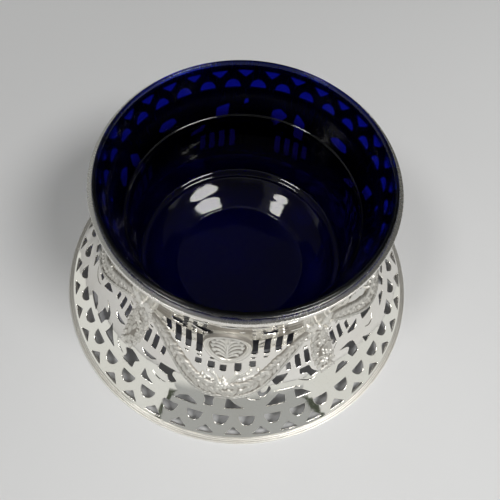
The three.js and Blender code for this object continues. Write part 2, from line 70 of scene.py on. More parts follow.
# Radius of the sheet at a height: a power curve below the waist and a softer one above it
def sheetRadius(height):
    s = sheet
    below = np.clip((s.waistHeight - height) / (s.waistHeight - s.footHeight), 0, None)
    above = np.clip((height - s.waistHeight) / (s.rimHeight - s.waistHeight), 0, None)
    flare = (s.footRadius - s.waistRadius) * below ** s.flarePower
    return s.waistRadius + flare + (s.rimRadius - s.waistRadius) * above ** s.rimPower


# Running sum that starts at 0
def summed(parts):
    return np.concatenate([[0], np.cumsum(parts)])


# Climb is the way walked up the outer face from its foot edge
heightTable = np.linspace(sheet.footHeight, sheet.rimHeight, sheet.tableSize)
radiusTable = sheetRadius(heightTable)
climbTable = summed(np.hypot(np.diff(heightTable), np.diff(radiusTable)))
slopeTable = np.gradient(radiusTable, heightTable)
# Flattened like a cone seen from above: stretch is the sum of climb over radius
stretchTable = summed(np.diff(climbTable) / (0.5 * (radiusTable[1:] + radiusTable[:-1])))
fullClimb = climbTable[-1]
waistClimb = np.interp(sheet.waistHeight, heightTable, climbTable)


# Climb at hundredths of the way from the foot edge, or from the rim edge, to the waist
def upFromFoot(share):
    return waistClimb * np.asarray(share, float) / 100


def downFromRim(share):
    return fullClimb - (fullClimb - waistClimb) * np.asarray(share, float) / 100


def radiusAt(climb):
    return np.interp(climb, climbTable, radiusTable)


# Millimetres of one degree round the sheet
def degreeAt(climb):
    return math.radians(1) * radiusAt(climb)


# Slope of the radius over the height, and the length of the step (1, slope)
def slopeAt(climb):
    slope = np.interp(climb, climbTable, slopeTable)
    return slope, np.sqrt(1 + slope ** 2)


# An angle in degrees brought between -180 and 180
def wrapped(angle):
    return (angle + 180) % 360 - 180


# Point of the outer face at an angle (degrees from the front, to the right as seen) and a climb, lifted
# along its normal
def onSheet(angle, climb, lift=0.0):
    angle, climb, lift = np.broadcast_arrays(np.asarray(angle, float), climb, lift)
    height = np.interp(climb, climbTable, heightTable)
    height = height + np.minimum(climb, 0) + np.maximum(climb - fullClimb, 0)
    slope, size = slopeAt(climb)
    turn = np.radians(angle - 90)
    away = radiusAt(climb) + lift / size
    return np.stack([away * np.cos(turn), away * np.sin(turn), height - lift * slope / size], -1) * mm


# Rows of vectors brought to length 1
def unit(vectors):
    return vectors / np.linalg.norm(vectors, axis=1)[:, None]


# Even angles of a full turn, in radians
def fullTurn(count):
    return np.linspace(0, 2 * math.pi, count, endpoint=False)


# Unit normal of the outer face there
def sheetNormal(angle, climb):
    slope, size = slopeAt(climb)
    turn = np.radians(np.asarray(angle, float) - 90)
    return np.stack([np.cos(turn) / size, np.sin(turn) / size, -slope / size], -1)


# A new object of this data, put into the scene
def placed(name, data):
    item = bpy.data.objects.new(name, data)
    bpy.context.scene.collection.objects.link(item)
    return item


# A mesh from points and faces of three or four corners, with soft shading and faces turned outwards; its
# point values are painted shade, how far each point is darkened
def makePiece(name, points, faces, paintedShade=None, normals=None, body="ring"):
    volume = 0.0
    for part in faces:
        for second in range(1, part.shape[1] - 1):
            across = np.cross(points[part[:, second]], points[part[:, second + 1]])
            volume += np.einsum("ij,ij->i", points[part[:, 0]], across).sum()
    if volume < 0:
        faces = [part[:, ::-1] for part in faces]
    mesh = bpy.data.meshes.new(name)
    mesh.from_pydata(points.tolist(), [], [face for part in faces for face in part.tolist()])
    mesh.polygons.foreach_set("use_smooth", np.ones(len(mesh.polygons), bool))
    # Painted shade kept as a point attribute that the silver reads
    if paintedShade is not None:
        layer = mesh.attributes.new("paintedShade", "FLOAT", "POINT")
        layer.data.foreach_set("value", np.ascontiguousarray(paintedShade, dtype=np.float32))
    mesh.update()
    if normals is not None:
        mesh.normals_split_custom_set_from_vertices(normals)
    piece = placed(name, mesh)
    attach(piece, body)
    print("made", name, len(points), "points")
    return piece


# Quads of a grid of rings that close on themselves; first and last ring also meet where closed
def gridQuads(rings, around, closed):
    index = np.arange(rings * around).reshape(rings, around)
    low = index if closed else index[:-1]
    high = np.roll(index, -1, 0) if closed else index[1:]
    return np.stack([low, np.roll(low, -1, 1), np.roll(high, -1, 1), high], -1).reshape(-1, 4)


# Shell of rings [ring, point, xyz], closed at each end by a fan to one pole
def shellFrom(grid, lowPole, highPole):
    rings, around = grid.shape[:2]
    points = np.concatenate([grid.reshape(-1, 3), [lowPole], [highPole]])
    first = np.arange(around)
    last = first + (rings - 1) * around
    lowFan = np.stack([np.roll(first, -1), first, np.full(around, rings * around)], -1)
    highFan = np.stack([last, np.roll(last, -1), np.full(around, rings * around + 1)], -1)
    return points, [gridQuads(rings, around, False), np.concatenate([lowFan, highFan])]


# Edges that have no partner the other way round, for this count of points
def borderEdges(faces, count):
    corners = faces.shape[1]
    directed = np.concatenate([faces[:, [corner, (corner + 1) % corners]] for corner in range(corners)])
    code = directed[:, 0] * count + directed[:, 1]
    return directed[~np.isin(code, directed[:, 1] * count + directed[:, 0])]


# Sum at each point of the values of the edges or faces that meet there
def summedAt(count, corners, values):
    total = np.zeros((count, values.shape[1]))
    for column in corners.T:
        np.add.at(total, column, values)
    return total


# Owner of each item and its place there, from the owners' counts of items
def numbered(counts):
    owner = np.repeat(np.arange(len(counts)), counts)
    return owner, np.arange(counts.sum()) - np.repeat(np.cumsum(counts) - counts, counts)


# Arc from start to end that bends towards a corner: (1 - s)^2 start + 2 s (1 - s) bend + s^2 end
def arcOf(start, bend, end, share):
    return (1 - share) ** 2 * start + 2 * share * (1 - share) * bend + share ** 2 * end


# Rounds corners by arcs within reach of them and within a share of their shorter side, from the ways to
# the corners before and after
def cornerArcs(corners, before, after, reach, sideShare, steps):
    sizes = np.linalg.norm(before, axis=1), np.linalg.norm(after, axis=1)
    reach = np.minimum(reach, sideShare * np.minimum(*sizes))[:, None]
    start = corners + before / sizes[0][:, None] * reach
    end = corners + after / sizes[1][:, None] * reach
    share = np.linspace(0, 1, steps)[None, :, None]
    return arcOf(start[:, None], corners[:, None], end[:, None], share).reshape(-1, 2)


# A closed outline with its corners rounded
def roundedOutline(outline, reach, steps=4, sideShare=0.45):
    outline = np.asarray(outline, float)
    before = np.roll(outline, 1, 0) - outline
    return cornerArcs(outline, before, np.roll(outline, -1, 0) - outline, reach, sideShare, steps)


# Adds points along the sides of a closed outline so that none is longer than a step
def withSteps(outline, step):
    after = np.roll(outline, -1, 0)
    counts = np.maximum(1, np.ceil(np.linalg.norm(after - outline, axis=1) / step).astype(int))
    owner, place = numbered(counts)
    share = (place / counts[owner])[:, None]
    return outline[owner] * (1 - share) + after[owner] * share


# A count of points at even shares of the corners of a line, and those shares
def resampled(line, count):
    share = np.linspace(0, 1, count)
    old = np.linspace(0, 1, len(line))
    return share, np.stack([np.interp(share, old, column) for column in np.asarray(line, float).T], -1)


# Outline of a hole from [angle, climb] corners, in mm shaken as a saw does, rounded, and widened by what
# the rounded edge takes up
def sawnHole(corners, reach, wobble):
    corners = np.asarray(corners, float)
    middle = corners.mean(0)
    scale = [degreeAt(middle[1]), 1]
    shake = sheet.wobble * wobble
    flat = (corners - middle) * scale * (1 + rng.normal(0, sheet.growth * shake))
    flat = flat + rng.normal(0, shake * sheet.shift, flat.shape)
    flat = flat + rng.normal(0, shake * sheet.shift, 2)
    outline = withSteps(roundedOutline(flat, reach), sheet.outlineStep)
    after = np.roll(outline, -1, 0)
    along = after - np.roll(outline, 1, 0)
    along /= np.maximum(np.linalg.norm(along, axis=1), 1e-9)[:, None]
    turns = 1 if (outline[:, 0] * after[:, 1] - outline[:, 1] * after[:, 0]).sum() > 0 else -1
    outline = outline + np.stack([along[:, 1], -along[:, 0]], -1) * turns * sheet.edgeRound
    return outline / scale + middle


# Corners of a half-moon between its flat side and the top of its round side
def moonCorners(angle, flatClimb, roundClimb, half):
    turn = np.linspace(0, math.pi, 11)
    return np.stack([angle + half * np.cos(turn), flatClimb + (roundClimb - flatClimb) * np.sin(turn)], -1)


# Corners of an upright slot, a little wider at its middle
def slotCorners(angle, low, high, width, bulge=0.08):
    middle = (low + high) / 2
    half = np.degrees(width / 2 / radiusAt(middle))
    grow = half * (1 + 2 * bulge / width)
    return [[angle + half, low], [angle + grow, middle], [angle + half, high],
            [angle - half, high], [angle - grow, middle], [angle - half, low]]


# Corner rounding in mm and share of the saw's wobble for each kind of hole
sawing = Settings(
    triangle=(0.5, 1.0), moon=(0.4, 0.5), scroll=(0.5, 1.0), line=(0.1, 0.1),
    upper=(0.8, 1.0), slot=(0.25, 0.6),
)
# Pierced rows at the edges. In hundredths of the way to the waist a triangle has its base and tip, a moon
# its round and flat side; then each has its half width and first angle in degrees
rows = [
    Settings(count=40, climbAt=upFromFoot, side=1, triangle=(2, 8.3, 2.9, 4.5), moon=(9.6, 17.6, 2.9, 0)),
    Settings(count=32, climbAt=downFromRim, side=-1, triangle=(3.2, 13, 3.5, -5),
             moon=(15.4, 27.4, 3.5, 0.625)),
]
# Scrollwork above the foot: angle, climb in mm and so on round each hole
scrollHoles = [
    [-86.7, 12, -81.5, 11.3, -83, 13.5, -85, 16.4],
    [-78.4, 18.6, -76, 16.2, -72.8, 17, -73.4, 18.4, -76.4, 19.6],
    [-70.2, 17.7, -66, 20.6, -64.2, 22.2, -68.6, 22.1, -70.4, 20.6],
    [-72.2, 10.4, -63.4, 10.3, -65, 12.1, -68, 12.9, -70.6, 11.8],
    [-61.9, 10.4, -57.4, 10.4, -57.6, 12.8, -56.2, 14.6, -57.6, 16.7, -60.4, 17.9, -64, 18.1, -60.6, 17.2,
     -59, 15.4, -62, 15.1, -61.4, 12.8],
    [-53.9, 10.6, -46.8, 10.6, -50.6, 13, -54.5, 16.1, -53.6, 13],
    [-57, 20.9, -49, 20.9, -51, 19.6, -54, 19.3],
    [-41.6, 10.5, -36.3, 10.5, -36.6, 13.3, -34.8, 14.8, -38, 16, -40, 16.3, -42.9, 14.7, -41, 13.2],
    [-37.6, 20.3, -29, 20.3, -31, 19, -34.4, 18.8],
    [-32, 10.6, -26.2, 10.6, -29.4, 12.2, -31.8, 14.4],
    [-27.3, 17.5, -22.8, 17, -21.4, 15, -20.2, 14.9, -18.3, 16.3, -20.9, 17.9, -21, 19.3, -19.6, 20.3, -27.3,
     20.3],
    [-17.2, 10.4, -8.8, 10.4, -10.5, 12.3, -13, 13, -15.8, 12],
    [-6.7, 11, -3, 11, -3.4, 13.4, -2.6, 15.5, -7.3, 14.9, -6.4, 13],
    [1, 11, 7.8, 11.2, 4.4, 12.8, 1.5, 15.5],
    [9.6, 18.3, 13, 17.8, 13.4, 15.9, 15, 15.2, 16.8, 16, 18.3, 18, 17.6, 19.4, 16.3, 17.2, 14.4, 16.8, 13.9,
     19.2, 12.6, 19.6],
    [15.8, 11.3, 23, 11.3, 23.3, 14.2, 20.8, 15.3, 18.6, 13.6],
    [20.4, 19, 23.4, 20.2, 25.9, 22.7, 18.5, 22.7],
    [27.2, 11.4, 33.4, 11.3, 30.4, 13.9, 27.2, 15.1],
    [31, 20.3, 33.8, 19.7, 35.2, 17.2, 38.8, 17.5, 36.4, 19.8, 35.6, 22.4, 31.2, 22.4],
    [44.7, 12.2, 52, 12, 50, 14.3, 47.4, 14.4],
    [54.4, 12.3, 58.3, 12.3, 58.7, 15.2, 58.6, 17, 56.4, 18.5, 50.4, 19, 54.2, 17.8, 55.4, 16.4, 53.2, 15],
    [57.9, 21.8, 61.8, 20.2, 63.9, 20.7, 65.6, 22.6, 58.4, 22.6],
    [62.8, 11.4, 67, 11.3, 64.8, 12.8, 63, 14.3],
    [68.3, 19, 72.2, 17.8, 75.8, 16.8, 73.2, 20.1, 69.2, 21.8],
    [79, 11.6, 86.6, 11.4, 83, 13.8],
    [88.6, 11.7, 92.2, 11.8, 92.4, 14, 91.2, 16.6, 88, 14.6],
]
# Fine saw lines round the leaf scrolls: middle line in [angle, climb]
sawLines = [
    [(-81.5, 15.2), (-79, 14.5), (-76, 14.3), (-73.4, 14.9), (-71.8, 16)],
    [(-48.8, 15), (-47, 13.4), (-44.6, 12.5), (-42.6, 12.2)],
    [(-28.6, 15.4), (-26.6, 14.4), (-24.4, 13.9), (-22.4, 14.1)],
    [(5, 17), (8, 16.3), (9.6, 15), (12, 14.4), (14.2, 14.6)],
    [(19.6, 16.6), (23, 16.8), (27, 16.4), (30, 15.5)],
    [(29.6, 18.6), (31.6, 17.4), (33.6, 16.4), (37, 16.1)],
    [(44.2, 17.4), (46.4, 19.4), (48, 21.6), (51, 23.2)],
    [(67, 15.6), (69, 14.2), (71.6, 14), (74, 15.4)],
]
# Openings above the waist, written the same way, and the share kept of their width and height
upperShare = (0.9, 0.72)
upperScrollHoles = [
    [-25.6, 48.6, -20.6, 48.6, -18.4, 58, -19.4, 63.4, -24.4, 59.6],
    [-15.8, 59.4, -13.2, 55, -9.5, 50.6, -6.2, 55.6, -7.4, 60.5, -11, 62.6],
    [4.3, 60, 6.6, 58.6, 6.3, 62.2, 4.7, 62.8],
    [13, 62, 14.2, 54, 20.8, 52.6, 20.2, 60],
    [25.4, 53.4, 29, 52.2, 34.6, 50.2, 34.2, 47.4, 27.2, 49.6],
    [39.6, 57.5, 43, 55.6, 49, 55.6, 51.5, 58, 48, 61, 41.5, 61],
]
# Slots: angle, low and high end in mm of climb, width; the shortest are the dashes above and below the slots
medallionSlots = [
    (-27.9, 38.6, 46.6, 2.05), (-22.8, 34.4, 46.6, 2.2), (-17.8, 34, 46.6, 2.1), (-12.6, 33.6, 46.4, 2.1),
    (11.9, 35.8, 47.2, 2.05), (17.4, 35.6, 47, 2.1), (22.7, 35.6, 46.6, 2.2), (27.8, 37, 46.2, 2.2),
    (-12, 27.7, 30.3, 2.3), (-6.3, 27.1, 30.3, 2.4), (-1.2, 26.6, 29.6, 2.3), (5, 27.1, 31, 2.3),
    (11.3, 29, 32, 2.2),
    (-18, 31.7, 32.5, 1.7), (-12, 31.6, 32.4, 1.7), (-6.1, 31.6, 32.4, 1.6), (-1.1, 31, 31.8, 1.6),
    (5.8, 32.6, 33.4, 1.6), (11.5, 33.2, 34, 1.7), (17.1, 33.2, 34, 1.7),
]
dropSlots = [
    (-16.4, 24, 27.4, 1.7), (-11.9, 23.6, 29.8, 1.95), (-7.4, 23.7, 30.1, 2.05),
    (7, 23.7, 30.5, 2.05), (11.5, 23.8, 30.4, 2.05), (16.2, 23.8, 27.6, 1.7),
    (-7.6, 31.2, 32, 1.7), (6.9, 31.7, 32.5, 1.7), (11.5, 31.6, 32.4, 1.7),
]


# A saw line: its middle line widened to both sides, tapering to its ends
def sawLine(line, turn, width=0.34, tip=0.35):
    share, middle = resampled(line, 2 * len(line))
    scale = [degreeAt(middle[:, 1].mean()), 1]
    along = unit(np.gradient(middle * scale, axis=0))
    half = (0.5 * width * (tip + (1 - tip) * np.sin(math.pi * share)))[:, None]
    side = np.stack([-along[:, 1], along[:, 0]], -1) * half / scale
    return np.concatenate([middle + side, (middle - side)[::-1]]) + [turn, 0]


# Triangles and moons of a row
def rowHoles(row):
    holes = []
    base, tip, half, triangleFirst = row.triangle
    roundSide, flatSide, moonHalf, moonFirst = row.moon
    base, tip, roundSide, flatSide = row.climbAt([base, tip, roundSide, flatSide])
    half = half * row.side
    for index in range(row.count):
        turn = index * 360 / row.count
        at = turn + triangleFirst
        holes.append(sawnHole([[at - half, base], [at + half, base], [at, tip]], *sawing.triangle))
        moon = moonCorners(turn + moonFirst, flatSide, roundSide, moonHalf)
        holes.append(sawnHole(moon, *sawing.moon))
    return holes


def slotHoles(slots, turn):
    return [sawnHole(slotCorners(at + turn, low, high, width), *sawing.slot)
            for at, low, high, width in slots]


# Every hole of the sheet as an outline in [angle, climb]
def allHoles():
    holes = [hole for row in rows for hole in rowHoles(row)]
    for turn in (0, 180):
        holes += [sawnHole(np.reshape(hole, (-1, 2)) + [turn, 0], *sawing.scroll) for hole in scrollHoles]
        holes += [sawnHole(sawLine(line, turn), *sawing.line) for line in sawLines]
    for turn in quarters:
        for hole in upperScrollHoles:
            corners = np.reshape(hole, (-1, 2)) + [turn, 0]
            lowest = [corners[:, 0].mean(), corners[:, 1].min()]
            holes.append(sawnHole(lowest + (corners - lowest) * upperShare, *sawing.upper))
        holes += slotHoles(medallionSlots, turn)
    for turn in dropAngles:
        holes += slotHoles(dropSlots, turn)
    return holes


# Which points [angle, climb] are inside a hole, and how far in mm from its outline
def holeDistance(points, hole):
    scale = [degreeAt(hole[:, 1].mean()), 1]
    turn = wrapped(points[:, 0] - hole[0, 0]) + hole[0, 0]
    at = np.stack([turn, points[:, 1]], -1) * scale
    edge = hole * scale
    after = np.roll(edge, -1, 0)
    side = after - edge
    gap = at[:, None] - edge[None]
    share = np.clip((gap * side).sum(-1) / (side ** 2).sum(-1), 0, 1)
    distance = np.linalg.norm(gap - share[..., None] * side, axis=-1).min(1)
    crosses = (edge[None, :, 1] > at[:, None, 1]) != (after[None, :, 1] > at[:, None, 1])
    rise = np.where(side[:, 1] == 0, 1e-9, side[:, 1])
    reach = edge[None, :, 0] + (at[:, None, 1] - edge[None, :, 1]) * side[None, :, 0] / rise[None]
    inside = (crosses & (at[:, None, 0] < reach)).sum(1) % 2 == 1
    return inside, distance


# Points [angle, climb] flattened like a cone seen from above, and back
def flattened(points):
    away = np.exp(-np.interp(points[:, 1], climbTable, stretchTable))
    turn = np.radians(points[:, 0])
    return np.stack([away * np.cos(turn), away * np.sin(turn)], -1)


def unflattened(flat):
    away = np.linalg.norm(flat, axis=1)
    return np.stack([np.degrees(np.arctan2(flat[:, 1], flat[:, 0])),
                     np.interp(-np.log(away), stretchTable, climbTable)], -1)


# Kept points near a hole: within its width and more degrees, and its climb and more mm
def nearHole(points, keep, hole, moreTurn, moreClimb):
    turn = wrapped(points[:, 0] - hole[:, 0].mean())
    low, high = hole[:, 1].min() - moreClimb, hole[:, 1].max() + moreClimb
    return np.flatnonzero(keep & (np.abs(turn) < np.ptp(hole[:, 0]) / 2 + moreTurn)
                          & (points[:, 1] > low) & (points[:, 1] < high))


# Loose points all over the sheet in staggered rings, clear of the holes
def loosePoints(holes):
    step = sheet.pointStep
    ring = np.arange(0.5 * step, fullClimb - 0.4 * step, step * sheet.ringShare)
    counts = np.round(2 * math.pi * radiusAt(ring) / step).astype(int)
    owner, place = numbered(counts)
    loose = np.stack([(place + 0.5 * (owner % 2)) * 360 / counts[owner] - 180, ring[owner]], -1)
    keep = np.ones(len(loose), bool)
    for hole in holes:
        near = nearHole(loose, keep, hole, moreTurn=3, moreClimb=1.5)
        if len(near):
            inside, distance = holeDistance(loose[near], hole)
            keep[near[inside | (distance < sheet.room)]] = False
    return loose[keep]


# Points [angle, climb] and triangles of the metal, from outlines and loose points laid flat
def flatSheet(holes, nearly=1e-4, tolerance=1e-7, halfChord=0.36):
    around = np.arange(0, 360, sheet.edgeStep)
    loops = [np.stack([around, np.full_like(around, climb)], -1) for climb in (0, fullClimb)] + holes
    edges = []
    for start, loop in zip(summed([len(loop) for loop in loops]), loops):
        first = np.arange(len(loop)) + start
        edges.append(np.stack([first, np.roll(first, -1)], -1))
    flat = [Vector(pair) for pair in flattened(np.concatenate(loops + [loosePoints(holes)])).tolist()]
    result = delaunay_2d_cdt(flat, np.concatenate(edges).tolist(), [], 0, tolerance)
    flat = np.array([tuple(pair) for pair in result[0]])
    triangles = np.array(result[2])
    points = unflattened(flat)
    # Drops what lies inside the rim, where a chord sags by its cosine, outside the foot or in a hole
    centre = flat[triangles].mean(1)
    middle = unflattened(centre)
    away = np.linalg.norm(flat[triangles], axis=-1)
    rimAway = math.exp(-stretchTable[-1])
    onRim = np.all(np.abs(away - rimAway) < nearly * rimAway, axis=1)
    keep = ~(onRim | np.all(np.abs(away - 1) < nearly, axis=1))
    keep &= np.linalg.norm(centre, axis=1) > rimAway * (1 - nearly) * math.cos(math.radians(halfChord))
    for hole in holes:
        near = nearHole(middle, keep, hole, moreTurn=1, moreClimb=0)
        if len(near):
            keep[near[holeDistance(middle[near], hole)[0]]] = False
    used, triangles = np.unique(triangles[keep], return_inverse=True)
    triangles = triangles.reshape(-1, 3)
    a, b, c = (flat[used][triangles[:, corner]] for corner in range(3))
    area = (b - a)[:, 0] * (c - a)[:, 1] - (b - a)[:, 1] * (c - a)[:, 0]
    triangles[area < 0] = triangles[area < 0][:, ::-1]
    return points[used], triangles


# The sheet: its flat triangles carried on to both faces, and its cut edges rounded between them
def piercedSheet():
    points, triangles = flatSheet(allHoles())
    count = len(points)
    border = borderEdges(triangles, count)
    first, second = border.T
    scale = np.stack([degreeAt(points[:, 1]), np.ones(count)], -1)
    along = points[second] - points[first]
    along[:, 0] = wrapped(along[:, 0])
    along = unit(along * scale[first])
    outward = summedAt(count, border, np.stack([along[:, 1], -along[:, 0]], -1))
    size = np.linalg.norm(outward, axis=1)
    rim = np.flatnonzero(size > 0)
    outward = outward[rim] / size[rim, None]
    place = np.full(count, -1)
    place[rim] = np.arange(len(rim))
    soft, thick = sheet.edgeRound, sheet.thickness
    moved = points[rim] + outward * soft / scale[rim]
    outer = onSheet(*points.T, chasedLift(*points.T))
    everything = np.concatenate([outer, onSheet(*points.T, -thick), onSheet(*moved.T, -soft),
                                 onSheet(*moved.T, soft - thick)])
    level = np.arange(count)
    levels = (level, 2 * count + place, 2 * count + place + len(rim), level + count)
    walls = [np.stack([upper[second], upper[first], lower[first], lower[second]], -1)
             for upper, lower in zip(levels, levels[1:])]
    # Soft shading of each face on its own, with the cut edges turning between them
    a, b, c = (outer[triangles[:, corner]] for corner in range(3))
    outerNormal = unit(summedAt(count, triangles, np.cross(b - a, c - a)))
    plain = sheetNormal(*points.T)
    turn = np.radians(points[rim, 0] - 90)
    across = np.stack([-np.sin(turn), np.cos(turn), np.zeros(len(rim))], -1)
    sideways = across * outward[:, :1] + np.cross(plain[rim], across) * outward[:, 1:]
    lean = sheet.edgeLean * plain[rim]
    normals = unit(np.concatenate([outerNormal, -plain, sideways + lean, sideways - lean]))
    # Painted shade: the inner face and the cut edge next to it darker, as the inside of the ring lies in
    # shade
    paintedShade = np.repeat(sheet.hollows, [count, count, len(rim), len(rim)])
    return makePiece("pierced_sheet", everything, [triangles, triangles[:, ::-1] + count] + walls,
                     paintedShade, normals)


# Low waves left by the hammer, in mm: the product of two sines of turn and climb
def chasedLift(angle, climb):
    lift, turns, swing, crossTurns, crossSwing = sheet.waves
    turn = np.radians(angle)
    return lift * np.sin(turns * turn + climb * swing) * np.sin(crossTurns * turn - climb * crossSwing)


# Wires turned about Z: a rounded box of radius and height, with cut lines round the top of the foot wire
footWire = Settings(outside=68.0, width=3.4, bottom=0, top=1.1, round=0.32, step=0.12,
                    grooves=(66.7, 67.3), grooveDepth=0.14, grooveHalf=0.13)
rimWire = Settings(outside=50.0, width=1.6, bottom=68.2, top=70.0, round=0.16, step=0.3,
                   grooves=(), grooveDepth=0)


def wireBand(name, f, around=288, nearTop=0.05):
    inside = f.outside - f.width
    box = [[f.outside, f.bottom], [f.outside, f.top], [inside, f.top], [inside, f.bottom]]
    radius, height = withSteps(roundedOutline(box, f.round, 5), f.step).T
    top = height > f.top - nearTop
    dip = np.zeros(len(radius))
    for groove in f.grooves:
        dip += np.exp(-((radius - groove) / f.grooveHalf) ** 2)
    height = height - np.where(top, f.grooveDepth * dip, 0)
    turn = fullTurn(around)[:, None]
    grid = np.stack([radius * np.cos(turn), radius * np.sin(turn), height + 0 * turn], -1) * mm
    # Painted shade in the cut lines round the top
    paintedShade = np.tile(np.where(top, np.clip(dip, 0, 1), 0), around)
    faces = [gridQuads(around, len(radius), True)]
    return makePiece(name, grid.reshape(-1, 3), faces, paintedShade)


# Glass liner: [radius, height] outside from the pad up, inside from the lip down, and each corner's reach
linerForm = Settings(
    outside=[(22.5, 10.6), (33.9, 13.1), (37.6, 14.4), (39.41, 16.8), (41.1, 45), (41.8, 49.5),
             (45.8, 58.3), (46.2, 60.5), (47.75, 68.2), (47.9, 70.3), (48.5, 70.6), (48.5, 71.6),
             (48.0, 72.3)],
    inside=[(47.2, 72.3), (46.6, 71.5), (46.1, 69.3), (45.7, 66.8), (44.8, 60.5), (43.3, 57.6),
            (40.65, 52.1), (40.25, 51.87), (39.65, 50), (39, 43.5), (38.4, 21.2), (35.9, 20.1), (35.2, 19.2),
            (33, 17.6), (31, 16.4), (29.2, 15.5), (27.2, 14.3), (25.3, 13.15), (24.5, 12.5)],
    reach=[3, 2, 3, 3, 3, 1.2, 1.6, 1, 1.2, 0.3, 0.3, 0.5, 0.5,
           0.5, 0.5, 0.8, 1, 1.6, 1.2, 0.6, 0.3, 0.8, 1.6, 2.0, 0.5, 0.4, 1, 1, 1, 1, 0.6, 0.4],
    floor=12.5, pad=10.6, sideShare=0.48, arcSteps=6, around=256,
)


def cobaltLiner():
    f = linerForm
    corners = np.array(f.outside + f.inside)
    before = np.concatenate([[[0, f.pad]], corners[:-1]]) - corners
    after = np.concatenate([corners[1:], [[0, f.floor]]]) - corners
    profile = cornerArcs(corners, before, after, f.reach, f.sideShare, f.arcSteps)
    turn = fullTurn(f.around)
    radius, height = profile[:, :1], profile[:, 1:]
    grid = np.stack([radius * np.cos(turn), radius * np.sin(turn), height + 0 * turn], -1) * mm
    points, faces = shellFrom(grid, (0, 0, f.pad * mm), (0, 0, f.floor * mm))
    return makePiece("cobalt_liner", points, faces, body="liner")


# Cut of a leaf: taper, half width of the midrib, veins per mm, their slant and share of the midrib's depth
leafCut = Settings(taper=0.5, midrib=0.16, veins=0.55, slant=1.1, veinShare=0.55)


# Height of leaves [x, y, length, width, turn, rise] over points (x, y): the root of 1 - u^2 - v^2, tapered,
# less the midrib and slanting veins where a depth is given
def lobes(x, y, shapes, depth=0.0):
    c = leafCut
    height = np.zeros(np.shape(x))
    for middleX, middleY, length, width, turn, rise in shapes:
        cos, sin = math.cos(math.radians(turn)), math.sin(math.radians(turn))
        u = ((x - middleX) * cos + (y - middleY) * sin) / (length / 2)
        v = (-(x - middleX) * sin + (y - middleY) * cos) / (width / 2)
        dome = np.sqrt(np.clip(1 - u ** 2 - v ** 2 * (1 + c.taper * np.clip(u, -1, 1)), 0, 1))
        if depth:
            midrib = np.exp(-(v / c.midrib) ** 2)
            slants = 0.5 + 0.5 * np.cos(2 * math.pi * (c.veins * length * u - c.slant * np.abs(v)))
            dome = dome * (1 - depth * (midrib + c.veinShare * slants * (1 - midrib)))
        height = np.maximum(height, rise * dome)
    return height


# Beads and buds: round domes [x, y, size, rise]
def beads(x, y, shapes):
    return lobes(x, y, [(px, py, size, size, 0, rise) for px, py, size, rise in shapes])


# Ridges along arcs: each is [start, bend, end, half width at start, middle and end, rise]
def fronds(x, y, curves):
    height = np.zeros(np.shape(x))
    share = np.linspace(0, 1, 14)[:, None]
    for start, bend, end, widths, rise in curves:
        curve = arcOf(np.array(start), np.array(bend), np.array(end), share)
        for (px, py), half in zip(curve, np.interp(share[:, 0], (0, 0.5, 1), widths)):
            gap = ((x - px) ** 2 + (y - py) ** 2) / half ** 2
            height = np.maximum(height, rise * np.sqrt(np.clip(1 - gap, 0, 1)))
    return height


# A flower: petals set round a bead; away, length, width and bead are shares of its size
petalForm = Settings(first=15, away=0.27, length=0.52, width=0.36, bead=0.3, beadRise=1.2)


def petals(middleX, middleY, size, rise, count=6):
    f = petalForm
    flower = []
    for index in range(count):
        turn = 360 * index / count + f.first
        out = math.radians(turn)
        flower.append((middleX + f.away * size * math.cos(out), middleY + f.away * size * math.sin(out),
                       f.length * size, f.width * size, turn, rise))
    bead = f.bead * size
    return flower + [(middleX, middleY, bead, bead, 0, f.beadRise * rise)]


# Heights in mm: below the least a relief sinks to the ground, below the cut it is left out; then its back
reliefForm = Settings(least=0.01, ground=-0.2, cut=-0.1, under=-0.3, passes=6)


# Closed relief over the sheet from heights on a grid: the kept top is joined by walls to its copy below
# the face, after quads that touch at one corner only
def reliefPiece(name, angle, climb, height, paintedShade):
    f = reliefForm
    height = np.where(height > f.least, height, f.ground)
    inside = height > f.cut
    kept = inside[:-1, :-1] | inside[1:, :-1] | inside[:-1, 1:] | inside[1:, 1:]
    corners = [(slice(None, -1), slice(None, -1)), (slice(1, None), slice(1, None)),
               (slice(None, -1), slice(1, None)), (slice(1, None), slice(None, -1))]
    for attempt in range(f.passes):
        a, b, c, d = (kept[corner] for corner in corners)
        touching = (a & b & ~c & ~d) | (c & d & ~a & ~b)
        for corner in corners:
            kept[corner] |= touching
    index = np.arange(height.size).reshape(height.shape)
    quads = np.stack([index[:-1, :-1], index[:-1, 1:], index[1:, 1:], index[1:, :-1]], -1)[kept]
    used, quads = np.unique(quads, return_inverse=True)
    quads = quads.reshape(-1, 4)
    count = len(used)
    angle, climb, lift, paintedShade = (np.broadcast_to(part, height.shape).ravel()[used]
                                  for part in (angle, climb, np.maximum(height, f.cut), paintedShade))
    first, second = borderEdges(quads, count).T
    walls = np.stack([second, first, first + count, second + count], -1)
    points = np.concatenate([onSheet(angle, climb, lift), onSheet(angle, climb, f.under)])
    return makePiece(name, points, [quads, quads[:, ::-1] + count, walls],
                     np.concatenate([paintedShade, np.zeros(count)]))


# Grid of [angle, climb] between limits, with its width in mm at each point; a degree is about 0.85 mm
def reliefGrid(angles, climbs, step, degree=0.85):
    columns = int((angles[1] - angles[0]) * degree / step)
    lines = int((climbs[1] - climbs[0]) / step)
    climb, angle = np.meshgrid(np.linspace(*climbs, lines), np.linspace(*angles, columns), indexing="ij")
    return angle, climb, angle * math.radians(1) * radiusAt(climb)


